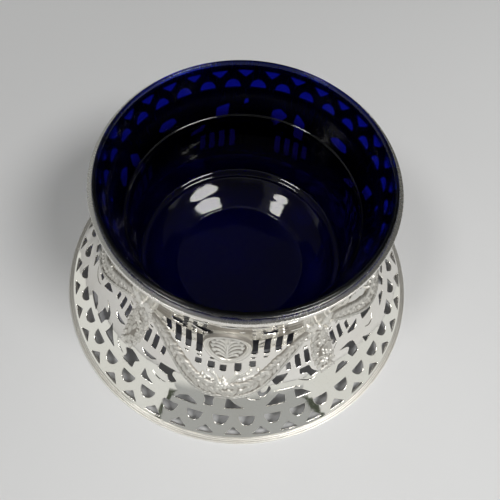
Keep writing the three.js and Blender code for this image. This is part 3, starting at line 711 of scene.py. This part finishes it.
medallionForm = Settings(
    halfWidth=8.0, halfHeight=12.4, fieldWidth=5.9, fieldHeight=10.2, rise=-1.3,
    borderLift=1.3, overLift=0.05, bandLift=0.85, fieldLift=0.4, leafLift=0.8, rings=62, around=200,
    # Back of the plaque; share of the way out where the band starts; the band's swell, its steep inner
    # side and the place and width of its two raised lines
    under=-0.3, inner=0.76, swell=0.1, steep=12, lines=((0.10, 0.09), (0.86, 0.10)),
    # Where the edge drops, and to what; from where the painted shadow at the edge starts; place, width and
    # depth of the painted shade in the band's valley
    edgeFrom=0.985, edgeLift=0.5, darkFrom=0.96, valley=(0.3, 0.1, 0.3), shadeFall=1.5,
    # Share of the hollow of the waist that the plaque bridges, so that it lies nearly flat
    bridged=0.55,
    # Right half of the palmette: start, bend and end of each frond, and the curl at its tip; then the
    # upright middle frond and the fan over it
    fronds=[((0.4, 1.6), (0.9, 7.4), (3.3, 7.3)), ((0.4, -1.3), (1.5, 5.0), (4.8, 3.9)),
            ((0.4, -4.2), (1.9, 1.4), (5.1, 0.2)), ((0.4, -6.8), (2.2, -2.4), (4.6, -3.6)),
            ((0.4, -8.6), (1.9, -5.8), (3.4, -6.8))],
    frondWidths=(0.35, 0.72, 0.5), curls=[(3.3, 6.1), (4.5, 2.6), (4.7, -1.1), (4.1, -4.8)],
    curlSize=1.25, curlShare=0.9, stem=((0, -9.2), (0, -2), (0, 3)), stemWidths=(0.75, 0.45, 0.5),
    fan=(0, 6.3, 6.6, 2.6, 90), fanDepth=0.35,
)


# Medallion: an oval with a smooth band between two raised lines, round a sunk field with a palmette
def ovalMedallion(number, centre):
    f = medallionForm
    inner, leafLift = f.inner, f.leafLift
    share = np.linspace(0, 1, f.rings + 1)[1:, None]
    turn = fullTurn(f.around)
    band = np.clip((share - inner) / (1 - inner), 0, 1)
    field = np.minimum(share / inner, 1)
    x = (f.fieldWidth * field + (f.halfWidth - f.fieldWidth) * band) * np.cos(turn)
    y = (f.fieldHeight * field + (f.halfHeight - f.fieldHeight) * band) * np.sin(turn)
    curves = [(*(np.array(frond) * (side, 1)), f.frondWidths, leafLift)
              for frond in f.fronds for side in (1, -1)]
    curves.append((*f.stem, f.stemWidths, leafLift))
    curls = [(side * px, py, f.curlSize, leafLift * f.curlShare)
             for px, py in f.curls for side in (1, -1)]
    fan = lobes(x, y, [(*f.fan, leafLift)], f.fanDepth)
    carved = np.maximum.reduce([fronds(x, y, curves), beads(x, y, curls), fan])
    lines = np.maximum.reduce([np.exp(-((band - at) / half) ** 2) for at, half in f.lines])
    raised = f.bandLift + f.swell * np.sin(math.pi * band) + (f.borderLift - f.bandLift) * lines
    raised = np.minimum(raised, f.fieldLift + f.steep * band)
    lift = np.minimum(np.where(share < inner, f.fieldLift + carved, raised), f.borderLift + f.overLift)
    lift = np.where(share > f.edgeFrom, f.edgeLift, lift)
    centreClimb = waistClimb + f.rise
    climb = centreClimb + y
    angle = centre + np.degrees(x / radiusAt(centreClimb))
    ends = centreClimb + np.array([-1, 1]) * f.halfHeight
    lift = lift + f.bridged * (np.interp(climb, ends, radiusAt(ends)) - radiusAt(climb))
    top = onSheet(angle, climb, lift)
    # Painted shade: darker in the low parts of the field round the palmette, in the band's valley, and full
    # at the plaque's edge
    at, half, depth = f.valley
    valley = np.exp(-((band - at) / half) ** 2) * depth
    paintedShade = np.where(share < inner, np.clip(1 - f.shadeFall * carved, 0, 1), valley)
    paintedShade = np.where(share > f.darkFrom, 1, paintedShade)
    grid = np.concatenate([onSheet(angle, climb, f.under), top[::-1]])
    points, faces = shellFrom(grid, onSheet(centre, centreClimb, f.under), top[0].mean(0))
    paintedShade = np.concatenate([np.zeros(paintedShade.size), paintedShade[::-1].ravel(), [0, 0]])
    return makePiece(f"palmette_medallion_{number}", points, faces, paintedShade)


swagForm = Settings(
    # Middle line of the right half, [degrees from its middle, climb in mm]; its samples and their blur
    line=[(0, 18.9), (5, 19.1), (9, 20.0), (13, 21.9), (17, 24.8), (21, 28), (25, 31.2), (29, 34.3),
          (33, 37.3), (36.8, 40.2)],
    samples=181, blur=5, limit=37.5, climbs=(14.6, 42.5), dropSide=7.2, step=0.25,
    half=2.55, endHalf=1.7, bodyLift=0.45, leafLift=1.0,
    # Leaves in two lanes that lean outwards, with what chance adds to place, size and lean
    leafLength=4.6, leafWidth=1.9, leafStep=1.9, lane=0.52, lean=34, veins=0.28,
    placeLuck=0.12, sizeLuck=0.08, leanLuck=11,
    # A berry at every fourth leaf
    berryEvery=4, berrySize=1.6, berryPlace=0.3, berryLuck=0.15, berryShare=1.1,
    # Two raised lines below the leaves
    lines=(0.45, 1.1), lineHalf=0.27, lineLift=0.5, lineEnd=0.9, lineRoom=2,
    # Shade: fall with height, share of the bulk, room beside the band, and least and most of what is on it
    shadeFall=1.15, bulkShare=0.6, shadeRoom=0.3, extraShade=(0.3, 0.5),
    # Flower and buds over the middle: degrees, climb, size; blades have length, width and turn
    flower=(-0.8, 20.9, 4.4), flowerRise=1.5, budRise=0.95, stalk=(0.5, 0.32),
    bladeRise=0.9, bladeVeins=0.3,
    buds=[(-11.5, 21.9, 1.2), (-9.3, 23.9, 1.3), (-8.1, 22.6, 1.2), (-7.1, 25.8, 1.5), (-5.2, 22.2, 1.1),
          (-0.8, 23.6, 1.1), (4.6, 26, 1.6), (7.6, 23.4, 1.3), (9, 25.9, 1.3), (10.4, 27.8, 1.2),
          (13.5, 27.4, 1.3), (15.4, 26, 1.4), (17, 26.4, 1.2)],
    blades=[(-3.4, 23.2, 6.4, 1.3, 118), (2.9, 23.4, 7.4, 1.4, 55)],
)


# Millimetres to the side of the middle for an angle at a climb
def sideAt(turn, climb):
    return math.radians(turn) * float(radiusAt(climb))


# The flower of a swag with its buds on stalks and its blades, as heights
def swagFlower(x, climb):
    f = swagForm
    turn, middleY, size = f.flower
    middleX = sideAt(turn, middleY)
    buds = [(sideAt(turn, rise), rise, size, f.budRise) for turn, rise, size in f.buds]
    stalks = []
    for px, py, *others in buds:
        stalks.append(((px + middleX) / 2, (py + middleY) / 2, math.hypot(px - middleX, py - middleY),
                       f.stalk[0], math.degrees(math.atan2(py - middleY, px - middleX)), f.stalk[1]))
    blades = [(sideAt(turn, rise), rise, *shape, f.bladeRise) for turn, rise, *shape in f.blades]
    flower = lobes(x, climb, petals(middleX, middleY, size, f.flowerRise))
    return [flower, beads(x, climb, buds), lobes(x, climb, stalks), lobes(x, climb, blades, f.bladeVeins)]


# Swag: leaves and berries along a hanging line, two raised lines under it, a flower and buds over it
def leafySwag(number, centre, leftAngle, rightAngle):
    f = swagForm
    luck = np.random.default_rng(40 + number)
    half = np.array(f.line, float)
    leftScale = (centre - leftAngle - f.dropSide) / half[-1, 0]
    rightScale = (rightAngle - centre - f.dropSide) / half[-1, 0]
    line = np.concatenate([half[::-1][:-1] * [-leftScale, 1], half * [rightScale, 1]])
    share, line = resampled(line, f.samples)
    blur = np.ones(2 * f.blur + 1) / (2 * f.blur + 1)
    line = np.stack([np.convolve(np.pad(column, f.blur, "edge"), blur, "valid") for column in line.T], -1)
    limit = max(leftScale, rightScale) * f.limit
    angle, climb, x = reliefGrid((-limit, limit), f.climbs, f.step)
    # Way along the line and distance from it, found at the nearest of its points
    flatLine = line * [math.radians(1), 1]
    lineRadius = radiusAt(line[:, 1])
    along = np.gradient(np.stack([flatLine[:, 0] * lineRadius, line[:, 1]], -1), axis=0)
    length = np.linalg.norm(along, axis=1)
    along /= length[:, None]
    radius = radiusAt(climb)
    nearest = np.zeros(angle.shape, int)
    gap = np.full(angle.shape, 1e9)
    for place, (turn, rise) in enumerate(flatLine):
        here = ((np.radians(angle) - turn) * radius) ** 2 + (climb - rise) ** 2
        nearest = np.where(here < gap, place, nearest)
        gap = np.minimum(here, gap)
    aside = ((climb - line[nearest, 1]) * along[nearest, 0]
             - (np.radians(angle) - flatLine[nearest, 0]) * radius * along[nearest, 1])
    way = np.abs(share[nearest] * 2 - 1)
    gap = np.sqrt(gap)
    wide = f.half + (f.endHalf - f.half) * way ** 2
    bulk = f.bodyLift * np.sqrt(np.clip(1 - (gap / wide) ** 2, 0, 1))
    # Leaves at even steps, pointing to the middle
    leaves, berries = [], []
    walked = np.cumsum(length)
    for step in np.arange(f.leafStep, walked[-1] - 1, f.leafStep):
        place = int(np.searchsorted(walked, step))
        side = 1 if share[place] < 0.5 else -1
        lean = math.degrees(math.atan2(along[place, 1] * side, along[place, 0] * side))
        reach = f.half + (f.endHalf - f.half) * (2 * share[place] - 1) ** 2
        base = np.array([flatLine[place, 0] * lineRadius[place], line[place, 1]])
        across = np.array([-along[place, 1], along[place, 0]])
        for lane in (-1, 1):
            spot = base + across * lane * reach * f.lane + luck.normal(0, f.placeLuck, 2)
            size = reach / f.half * (1 + luck.normal(0, f.sizeLuck))
            turn = lean + lane * side * f.lean + luck.normal(0, f.leanLuck)
            lift = f.leafLift * (1 + luck.normal(0, f.sizeLuck))
            leaves.append((*spot, f.leafLength * size, f.leafWidth * size, turn, lift))
        if len(leaves) % f.berryEvery == 0:
            spot = base + luck.normal(0, f.berryPlace, 2)
            size = f.berrySize + luck.normal(0, f.berryLuck)
            berries.append((*spot, size, f.leafLift * f.berryShare))
    carved = np.maximum(lobes(x, climb, leaves, f.veins), beads(x, climb, berries))
    shade = np.clip(f.shadeFall - f.shadeFall * np.maximum(carved, bulk * f.bulkShare), 0, 1)
    shade = np.where(gap < wide + f.shadeRoom, shade, 0)
    lines = sum(np.sqrt(np.clip(1 - ((aside + wide + below) / f.lineHalf) ** 2, 0, 1))
                for below in f.lines)
    lines = lines * f.lineLift * (way < f.lineEnd) * (gap < wide + f.lineRoom)
    extra = np.maximum.reduce(swagFlower(x, climb) + [lines])
    height = np.maximum(np.maximum(bulk, carved), extra)
    least, most = f.extraShade
    shade = np.where(extra > least, np.clip(most - extra, 0, 1), shade)
    return reliefPiece(f"leafy_swag_{number}", centre + angle, climb, height, shade)


dropForm = Settings(
    bottom=16.6, top=38.4, halfWidth=3.9, bodyLift=0.5, leafLift=1.1,
    angles=(-8.2, 8.2), climbs=(15, 45.5), step=0.22, veins=0.4,
    # Half width along its height, both as shares
    shape=[(0.1, 0), (0.45, 0.04), (0.8, 0.14), (1, 0.32), (1, 0.52), (0.84, 0.7), (0.6, 0.84), (0.42, 0.94),
           (0.3, 1)],
    # Rows of flowers, leaves and berries, by turns of two and three places, and their chances
    rowStep=2.3, rowEnds=(1.4, 0.6), places=((-0.4, 0.5), (-0.75, 0.05, 0.7)),
    flowerUpTo=0.4, leafUpTo=0.8, flowerSize=(2.6, 4.0), leafLength=(3.4, 5),
    leafWidth=(1.5, 2.2), berrySize=1.5, berryCount=3, petalCount=5,
    # What chance adds to places and lifts, how lifts fall to the sides, and where side leaves start
    placeLuck=(0.35, 0.4), berryPlace=0.6, liftLuck=(0.75, 1.05), sideFall=0.3, sideStart=(0.85, 0.6),
    # Leaves at the sides and loose ones round the bow: length, width and rise; then the bow and its knot
    sideLeaf=(3.6, 1.7, 0.9), sideTurn=(120, 160), bowLeaves=12, bowLeafLength=(2.6, 4.2),
    bowLeafX=(2.2, 6.3), bowLeafY=(35, 44.5), bowLeaf=(1.5, 0.75),
    bow=[(3.0, 40.9, 5.6, 2.7, 24), (3.9, 37.4, 4.6, 1.4, -52), (2.2, 43.2, 3.2, 1.6, 60)],
    bowRise=1.1, knot=(0, 39.6, 2.6, 1.4), shade=(1.15, 1.1, 0.6),
)


# Drop: a pointed bunch of flowers and fruit with leaves at its sides, under a ribbon bow
def floralDrop(number, centre):
    f = dropForm
    luck = np.random.default_rng(60 + number)
    angle, climb, x = reliefGrid(f.angles, f.climbs, f.step)
    shape = np.array(f.shape)
    tall = f.top - f.bottom
    share = (climb - f.bottom) / tall
    wide = np.interp(share, shape[:, 1], shape[:, 0]) * f.halfWidth
    within = (share > 0) & (share < 1)
    bulk = np.where(within, f.bodyLift * np.sqrt(np.clip(1 - (x / wide) ** 2, 0, 1)), 0)
    flowers, leaves, berries = [], [], []
    low, high = f.bottom + f.rowEnds[0], f.top - f.rowEnds[1]
    for row, rise in enumerate(np.arange(low, high, f.rowStep)):
        reach = float(np.interp((rise - f.bottom) / tall, shape[:, 1], shape[:, 0]) * f.halfWidth)
        for place in f.places[row % 2]:
            x0 = place * reach + luck.normal(0, f.placeLuck[0])
            y0 = rise + luck.normal(0, f.placeLuck[1])
            kind = luck.random()
            lift = f.leafLift * (1 - f.sideFall * abs(place)) * luck.uniform(*f.liftLuck)
            if kind < f.flowerUpTo:
                flowers += petals(x0, y0, luck.uniform(*f.flowerSize), lift, f.petalCount)
            elif kind < f.leafUpTo:
                leaves.append((x0, y0, luck.uniform(*f.leafLength), luck.uniform(*f.leafWidth),
                               luck.uniform(0, 360), lift))
            else:
                berries += [(x0 + luck.normal(0, f.berryPlace), y0 + luck.normal(0, f.berryPlace),
                             f.berrySize, lift) for berry in range(f.berryCount)]
        length, width, lift = f.sideLeaf
        for side in (-1, 1):
            turn = 90 - side * luck.uniform(*f.sideTurn)
            leaves.append((side * reach * f.sideStart[0], rise - f.sideStart[1], length, width, turn, lift))
    width, lift = f.bowLeaf
    for leaf in range(f.bowLeaves):
        side = 1 if leaf % 2 else -1
        leaves.append((side * luck.uniform(*f.bowLeafX), luck.uniform(*f.bowLeafY),
                       luck.uniform(*f.bowLeafLength), width, luck.uniform(0, 360), lift))
    for px, py, length, width, turn in f.bow:
        leaves += [(px, py, length, width, turn, f.bowRise),
                   (-px, py, length, width, 180 - turn, f.bowRise)]
    fruit = beads(x, climb, [f.knot] + berries)
    carved = np.maximum.reduce([lobes(x, climb, flowers), lobes(x, climb, leaves, f.veins), fruit])
    most, fall, beside = f.shade
    shade = np.where(within & (np.abs(x) < wide), np.clip(most - fall * carved, 0, 1),
                     np.clip(beside - carved, 0, 1))
    height = np.maximum(bulk, carved)
    return reliefPiece(f"floral_pendant_{number}", centre + angle, climb, height, shade)


# Wraps a socket so that shader maths reads as plain sums
class Wire:
    def __init__(self, bench, socket):
        self.bench, self.socket = bench, socket

    def math(self, operation, *values):
        return self.bench.node("ShaderNodeMath", {"operation": operation}, dict(enumerate(values)))

    def __add__(self, other):
        return self.math("ADD", self, other)

    def __sub__(self, other):
        return self.math("SUBTRACT", self, other)

    def __rsub__(self, other):
        return self.math("SUBTRACT", other, self)

    def __mul__(self, other):
        return self.math("MULTIPLY", self, other)

    def absolute(self):
        return self.math("ABSOLUTE", self)

    def clipped(self, low=0, high=1):
        return self.math("MINIMUM", self.math("MAXIMUM", self, low), high)

    __radd__ = __add__
    __rmul__ = __mul__


# The nodes of a material or of the sky: a kind, its settings, its sockets, and the output that is used
class Bench:
    def __init__(self, owner, endKind="ShaderNodeOutputMaterial"):
        self.owner = owner
        owner.use_nodes = True
        self.tree = owner.node_tree
        self.tree.nodes.clear()
        self.end = self.tree.nodes.new(endKind)

    def node(self, kind, settings=None, sockets=None, output=0):
        node = self.tree.nodes.new(kind)
        for key, value in (settings or {}).items():
            setattr(node, key, value)
        for key, value in (sockets or {}).items():
            if isinstance(value, Wire):
                self.tree.links.new(value.socket, node.inputs[key])
            else:
                node.inputs[key].default_value = value
        return Wire(self, node.outputs[output])

    # Outputs 0 and 3 are the generated and the object coordinates
    def place(self, output=3):
        return self.node("ShaderNodeTexCoord", output=output)

    def axis(self, where, output):
        return self.node("ShaderNodeSeparateXYZ", None, {0: where}, output)

    def noise(self, where, scale, detail=3, roughness=0.55):
        return self.node("ShaderNodeTexNoise", None,
                         {"Vector": where, "Scale": scale, "Detail": detail, "Roughness": roughness})

    def bump(self, strength, distance, height):
        return self.node("ShaderNodeBump", None,
                         {"Strength": strength, "Distance": distance, "Height": height})

    # Rises softly from 0 to 1 as a value goes from start to end
    def ramp(self, value, start, end):
        return self.node("ShaderNodeMapRange", {"interpolation_type": "SMOOTHSTEP"},
                         {0: value, 1: start, 2: end, 3: 0.0, 4: 1.0})

    # Colour between two colours by a share; 6, 7 and 0 are the colour sockets of Mix
    def blended(self, share, first, second):
        return self.node("ShaderNodeMix", {"data_type": "RGBA"}, {0: share, 6: first, 7: second}, 2)

    def finish(self, **sockets):
        named = {key.replace("_", " "): value for key, value in sockets.items()}
        shader = self.node("ShaderNodeBsdfPrincipled", None, named)
        self.tree.links.new(shader.socket, self.end.inputs["Surface"])
        return self.owner


# Colours, scales of the noises, and what clouds, painted shade and scratches add; dim is the colour of
# painted shade and tarnish
silverFinish = Settings(
    bright=(0.93, 0.915, 0.875, 1), warm=(0.86, 0.825, 0.755, 1), dim=(0.36, 0.335, 0.30, 1),
    cloudScale=60.0, scratchScale=900.0, grainScale=2160.0, dentScale=240.0,
    cloudGain=1.3, cloudFrom=0.35, grainFrom=0.6, grainMost=0.3,
    scratchTurn=(0.5, 0.3, 0.8), scratchStretch=(1, 1, 0.06), scratchFrom=0.56, scratchGain=6,
    roughClouds=0.12, roughHollow=0.22, roughScratch=0.06, roughRange=(0.025, 0.8),
    dentHeight=0.0002, scratchHeight=0.12,
)


# Polished silver: warm clouds in the colour, painted shade from each point's value with spots of tarnish
# from the grain, fine rubbing scratches and soft dents
def polishedSilver(name, roughness, shadeDepth, dent):
    f = silverFinish
    bench = Bench(bpy.data.materials.new(name))
    where = bench.place()
    paintedShade = bench.node("ShaderNodeAttribute", {"attribute_name": "paintedShade"}, output=2)
    clouds = bench.noise(where, f.cloudScale, 4)
    grain = bench.noise(where, f.grainScale, 2)
    stretched = bench.node("ShaderNodeMapping", None,
                           {"Vector": where, "Rotation": f.scratchTurn, "Scale": f.scratchStretch})
    scratches = bench.noise(stretched, f.scratchScale, 2, 0.7)
    lines = (scratches - f.scratchFrom).clipped() * f.scratchGain
    colour = bench.blended((clouds * f.cloudGain - f.cloudFrom).clipped(), f.bright, f.warm)
    # Painted shade from each point's value, together with spots of tarnish from the grain, darkens towards
    # dim
    shadeAndTarnish = (paintedShade * shadeDepth + (grain - f.grainFrom).clipped(0, f.grainMost)).clipped()
    colour = bench.blended(shadeAndTarnish, colour, f.dim)
    rough = clouds * f.roughClouds + roughness - f.roughClouds / 2
    rough = (rough + paintedShade * f.roughHollow + lines * f.roughScratch).clipped(*f.roughRange)
    dents = bench.noise(where, f.dentScale) + lines * f.scratchHeight
    return bench.finish(Base_Color=colour, Metallic=1.0, Roughness=rough,
                        Normal=bench.bump(dent, f.dentHeight, dents))


# Heights in metres at which the colour goes from thick to thin glass, to the lip and to the pad
glassFinish = Settings(
    thin=(0.003, 0.005, 0.26, 1), thick=(0.003, 0.0016, 0.055, 1), pad=(0.004, 0.004, 0.19, 1),
    lip=(0.006, 0.05, 0.42, 1), dust=(0.03, 0.035, 0.30, 1),
    thinFrom=(0.0495, 0.0575), lipFrom=(0.0705, 0.0715), padFrom=(0.0185, 0.0125),
    floorFrom=(0.022, 0.018), dustScale=1500.0, dustLeast=0.72, dustGain=4, smearScale=70.0,
    smearLeast=0.5, dustRough=0.8, smearRough=0.03, wave=0.1, waveHeight=0.002, waveScale=95.0,
    ior=1.39, roughness=0.03, coneRoughness=0.12, floorRoughness=0.055,
)


# Cobalt glass: thin and bright blue in the cone, thick and nearly black in the bowl, with a little dust
def cobaltGlass():
    f = glassFinish
    bench = Bench(bpy.data.materials.new("cobalt_glass"))
    where = bench.place()
    dust = (bench.noise(where, f.dustScale, 2) - f.dustLeast).clipped()
    smears = (bench.noise(where, f.smearScale) - f.smearLeast).clipped()
    height = bench.axis(where, 2)
    thin, lip, pad, floor = (bench.ramp(height, *f[key + "From"]) for key in ("thin", "lip", "pad", "floor"))
    colour = bench.blended(thin, f.thick, f.thin)
    colour = bench.blended(lip, colour, f.lip)
    colour = bench.blended(pad, colour, f.pad)
    colour = bench.blended((dust * f.dustGain).clipped(), colour, f.dust)
    rough = dust * f.dustRough + smears * f.smearRough + f.roughness
    rough = rough + floor * (f.floorRoughness - f.roughness) + thin * f.coneRoughness
    waves = bench.bump(f.wave, f.waveHeight, bench.noise(where, f.waveScale, 1))
    return bench.finish(Base_Color=colour, Roughness=rough, IOR=f.ior, Transmission_Weight=1.0,
                        Normal=waves)


# Roughness, depth of painted shade and dents of each silver
sheetSilver = polishedSilver("sheet_silver", 0.05, 0.5, 0.03)
wireSilver = polishedSilver("foot_silver", 0.40, 0.6, 0.04)
rimSilver = polishedSilver("rim_silver", 0.27, 0.6, 0.03)
castSilver = polishedSilver("cast_silver", 0.37, 1.0, 0.12)
glass = cobaltGlass()


# Gives a piece its material and hides the imported part that it stands for
def dress(piece, material, node):
    piece.data.materials.append(material)
    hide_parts(node)


dress(piercedSheet(), sheetSilver, "pierced_wall")
dress(wireBand("foot_wire_band", footWire), wireSilver, "foot_wire")
dress(wireBand("rim_wire_band", rimWire), rimSilver, "rim_wire")
for number, (quarter, leftDrop) in enumerate(zip(quarters, dropAngles), 1):
    rightDrop = dropAngles[number] if number < 4 else dropAngles[0] + 360
    dress(ovalMedallion(number, quarter), castSilver, f"medallion_{number}")
    dress(leafySwag(number, quarter, leftDrop, rightDrop), castSilver, f"swag_{number}")
    dress(floralDrop(number, leftDrop), castSilver, f"floral_drop_{number}")
dress(cobaltLiner(), glass, "glass_liner")

# Floor of pale paper, with painted shade darker towards the left and the back, and a little darker in clouds
paper = Settings(
    size=3.0, sides=24, colour=(0.83, 0.832, 0.845), nearShare=0.78, cloudShare=0.8,
    nearSlope=0.9, nearFrom=(-0.24, 0.18), cloudScale=9.0, cloudGain=0.3, roughness=0.75,
)


def paperFloor():
    f = paper
    side = np.linspace(-f.size / 2, f.size / 2, f.sides + 1)
    x, y = np.meshgrid(side, side, indexing="ij")
    index = np.arange(x.size).reshape(x.shape)
    quads = np.stack([index[:-1, :-1], index[1:, :-1], index[1:, 1:], index[:-1, 1:]], -1).reshape(-1, 4)
    mesh = bpy.data.meshes.new("paper_floor")
    mesh.from_pydata(np.stack([x, y, 0 * x], -1).reshape(-1, 3).tolist(), [], quads.tolist())
    floor = placed("paper_floor", mesh)
    bench = Bench(bpy.data.materials.new("pale_paper"))
    where = bench.place()
    base = np.array(f.colour)
    # Painted shade: the paper darker towards the left and the back
    near = bench.ramp(bench.axis(where, 0) * f.nearSlope - bench.axis(where, 1), *f.nearFrom)
    colour = bench.blended(near, (*(base * f.nearShare), 1), (*base, 1))
    clouds = bench.noise(where, f.cloudScale, 4) * f.cloudGain
    colour = bench.blended(clouds, colour, (*(base * f.cloudShare), 1))
    mesh.materials.append(bench.finish(Base_Color=colour, Roughness=f.roughness))


paperFloor()

# The sky: pale walls, a dimmer ceiling between two wandering edges with dark borders, and dark overhead
# and at the back, but for a strip
studio = Settings(
    pale=(0.68, 0.69, 0.665, 1), ceiling=(0.37, 0.38, 0.375, 1), top=(0.085, 0.085, 0.08, 1),
    border=(0.06, 0.07, 0.05, 1), edges=((-0.47, (0.022, 0.016)), (0.70, (0.026, 0.019))),
    edgeSoft=0.003, wanderScale=7.0, wander=0.16, ceilingFrom=(0.06, 0.16),
    borderFrom=(0.2, 0.25), topFrom=(0.76, 0.82), topBack=1.2, topSide=0.2,
    strip=((-0.15, -0.22), (-0.5, -0.4)), stripShare=0.85,
    # Soft boxes: place, size, watts
    lights=[((0.60, -0.36, 1.05), (0.50, 0.36), 7.8), ((-0.46, -0.38, 1.05), (0.22, 0.26), 2.6)],
    lightAim=(0, 0, 0.03), lightColour=(1.0, 0.99, 0.97),
)


def studioSky():
    s = studio
    world = bpy.data.worlds.new("studio")
    bpy.context.scene.world = world
    bench = Bench(world, "ShaderNodeOutputWorld")
    where = bench.place(0)
    x, y, z = (bench.axis(where, output) for output in range(3))
    wander = x + (bench.noise(where, s.wanderScale) - 0.5) * s.wander
    (leftPast, leftBorder), (rightPast, rightBorder) = (
        (bench.ramp(wander, edge - s.edgeSoft, edge + s.edgeSoft),
         bench.ramp((wander - edge).absolute(), *reach)) for edge, reach in s.edges)
    ceiling = leftPast * (1 - rightPast) * bench.ramp(z, *s.ceilingFrom)
    top = bench.ramp(z + y.clipped() * s.topBack + x.absolute() * s.topSide, *s.topFrom)
    left, right = (bench.ramp(x, *reach) for reach in s.strip)
    top = top * (1 - left * right * s.stripShare)
    border = (leftBorder + rightBorder).clipped() * bench.ramp(z, *s.borderFrom)
    colour = bench.blended(ceiling, s.pale, s.ceiling)
    colour = bench.blended(border, colour, s.border)
    colour = bench.blended(top, colour, s.top)
    shine = bench.node("ShaderNodeBackground", None, {"Color": colour, "Strength": 1.0})
    bench.tree.links.new(shine.socket, bench.end.inputs["Surface"])


studioSky()
bpy.context.scene.view_settings.view_transform = "Standard"
for place, size, watts in studio.lights:
    lamp = bpy.data.lights.new("softbox", "AREA")
    lamp.shape, lamp.size, lamp.size_y = "ELLIPSE", *size
    lamp.energy, lamp.color = watts, studio.lightColour
    holder = placed("softbox", lamp)
    holder.location = place
    holder.rotation_euler = (Vector(studio.lightAim) - Vector(place)).to_track_quat("-Z", "Y").to_euler()

# Camera at the photo's angle: its place and line of sight, its roll in degrees and its lens in mm
view = Settings(
    place=(0.00419, -0.12008, 0.24325), look=(-0.0029, 0.4780, -0.8784), roll=6.406,
    lens=47.6, sensor=36, nearest=0.01,
)
look = Vector(view.look).normalized()
level = look.cross(Vector((0, 0, 1))).normalized()
above = level.cross(look)
roll = math.radians(view.roll)
right = level * math.cos(roll) + above * math.sin(roll)
up = above * math.cos(roll) - level * math.sin(roll)
camera = bpy.data.cameras.new("camera")
camera.lens, camera.sensor_width, camera.clip_start = view.lens, view.sensor, view.nearest
eye = placed("camera", camera)
eye.matrix_world = Matrix.Translation(view.place) @ Matrix((right, up, -look)).transposed().to_4x4()
bpy.context.scene.camera = eye
print("studio ready")
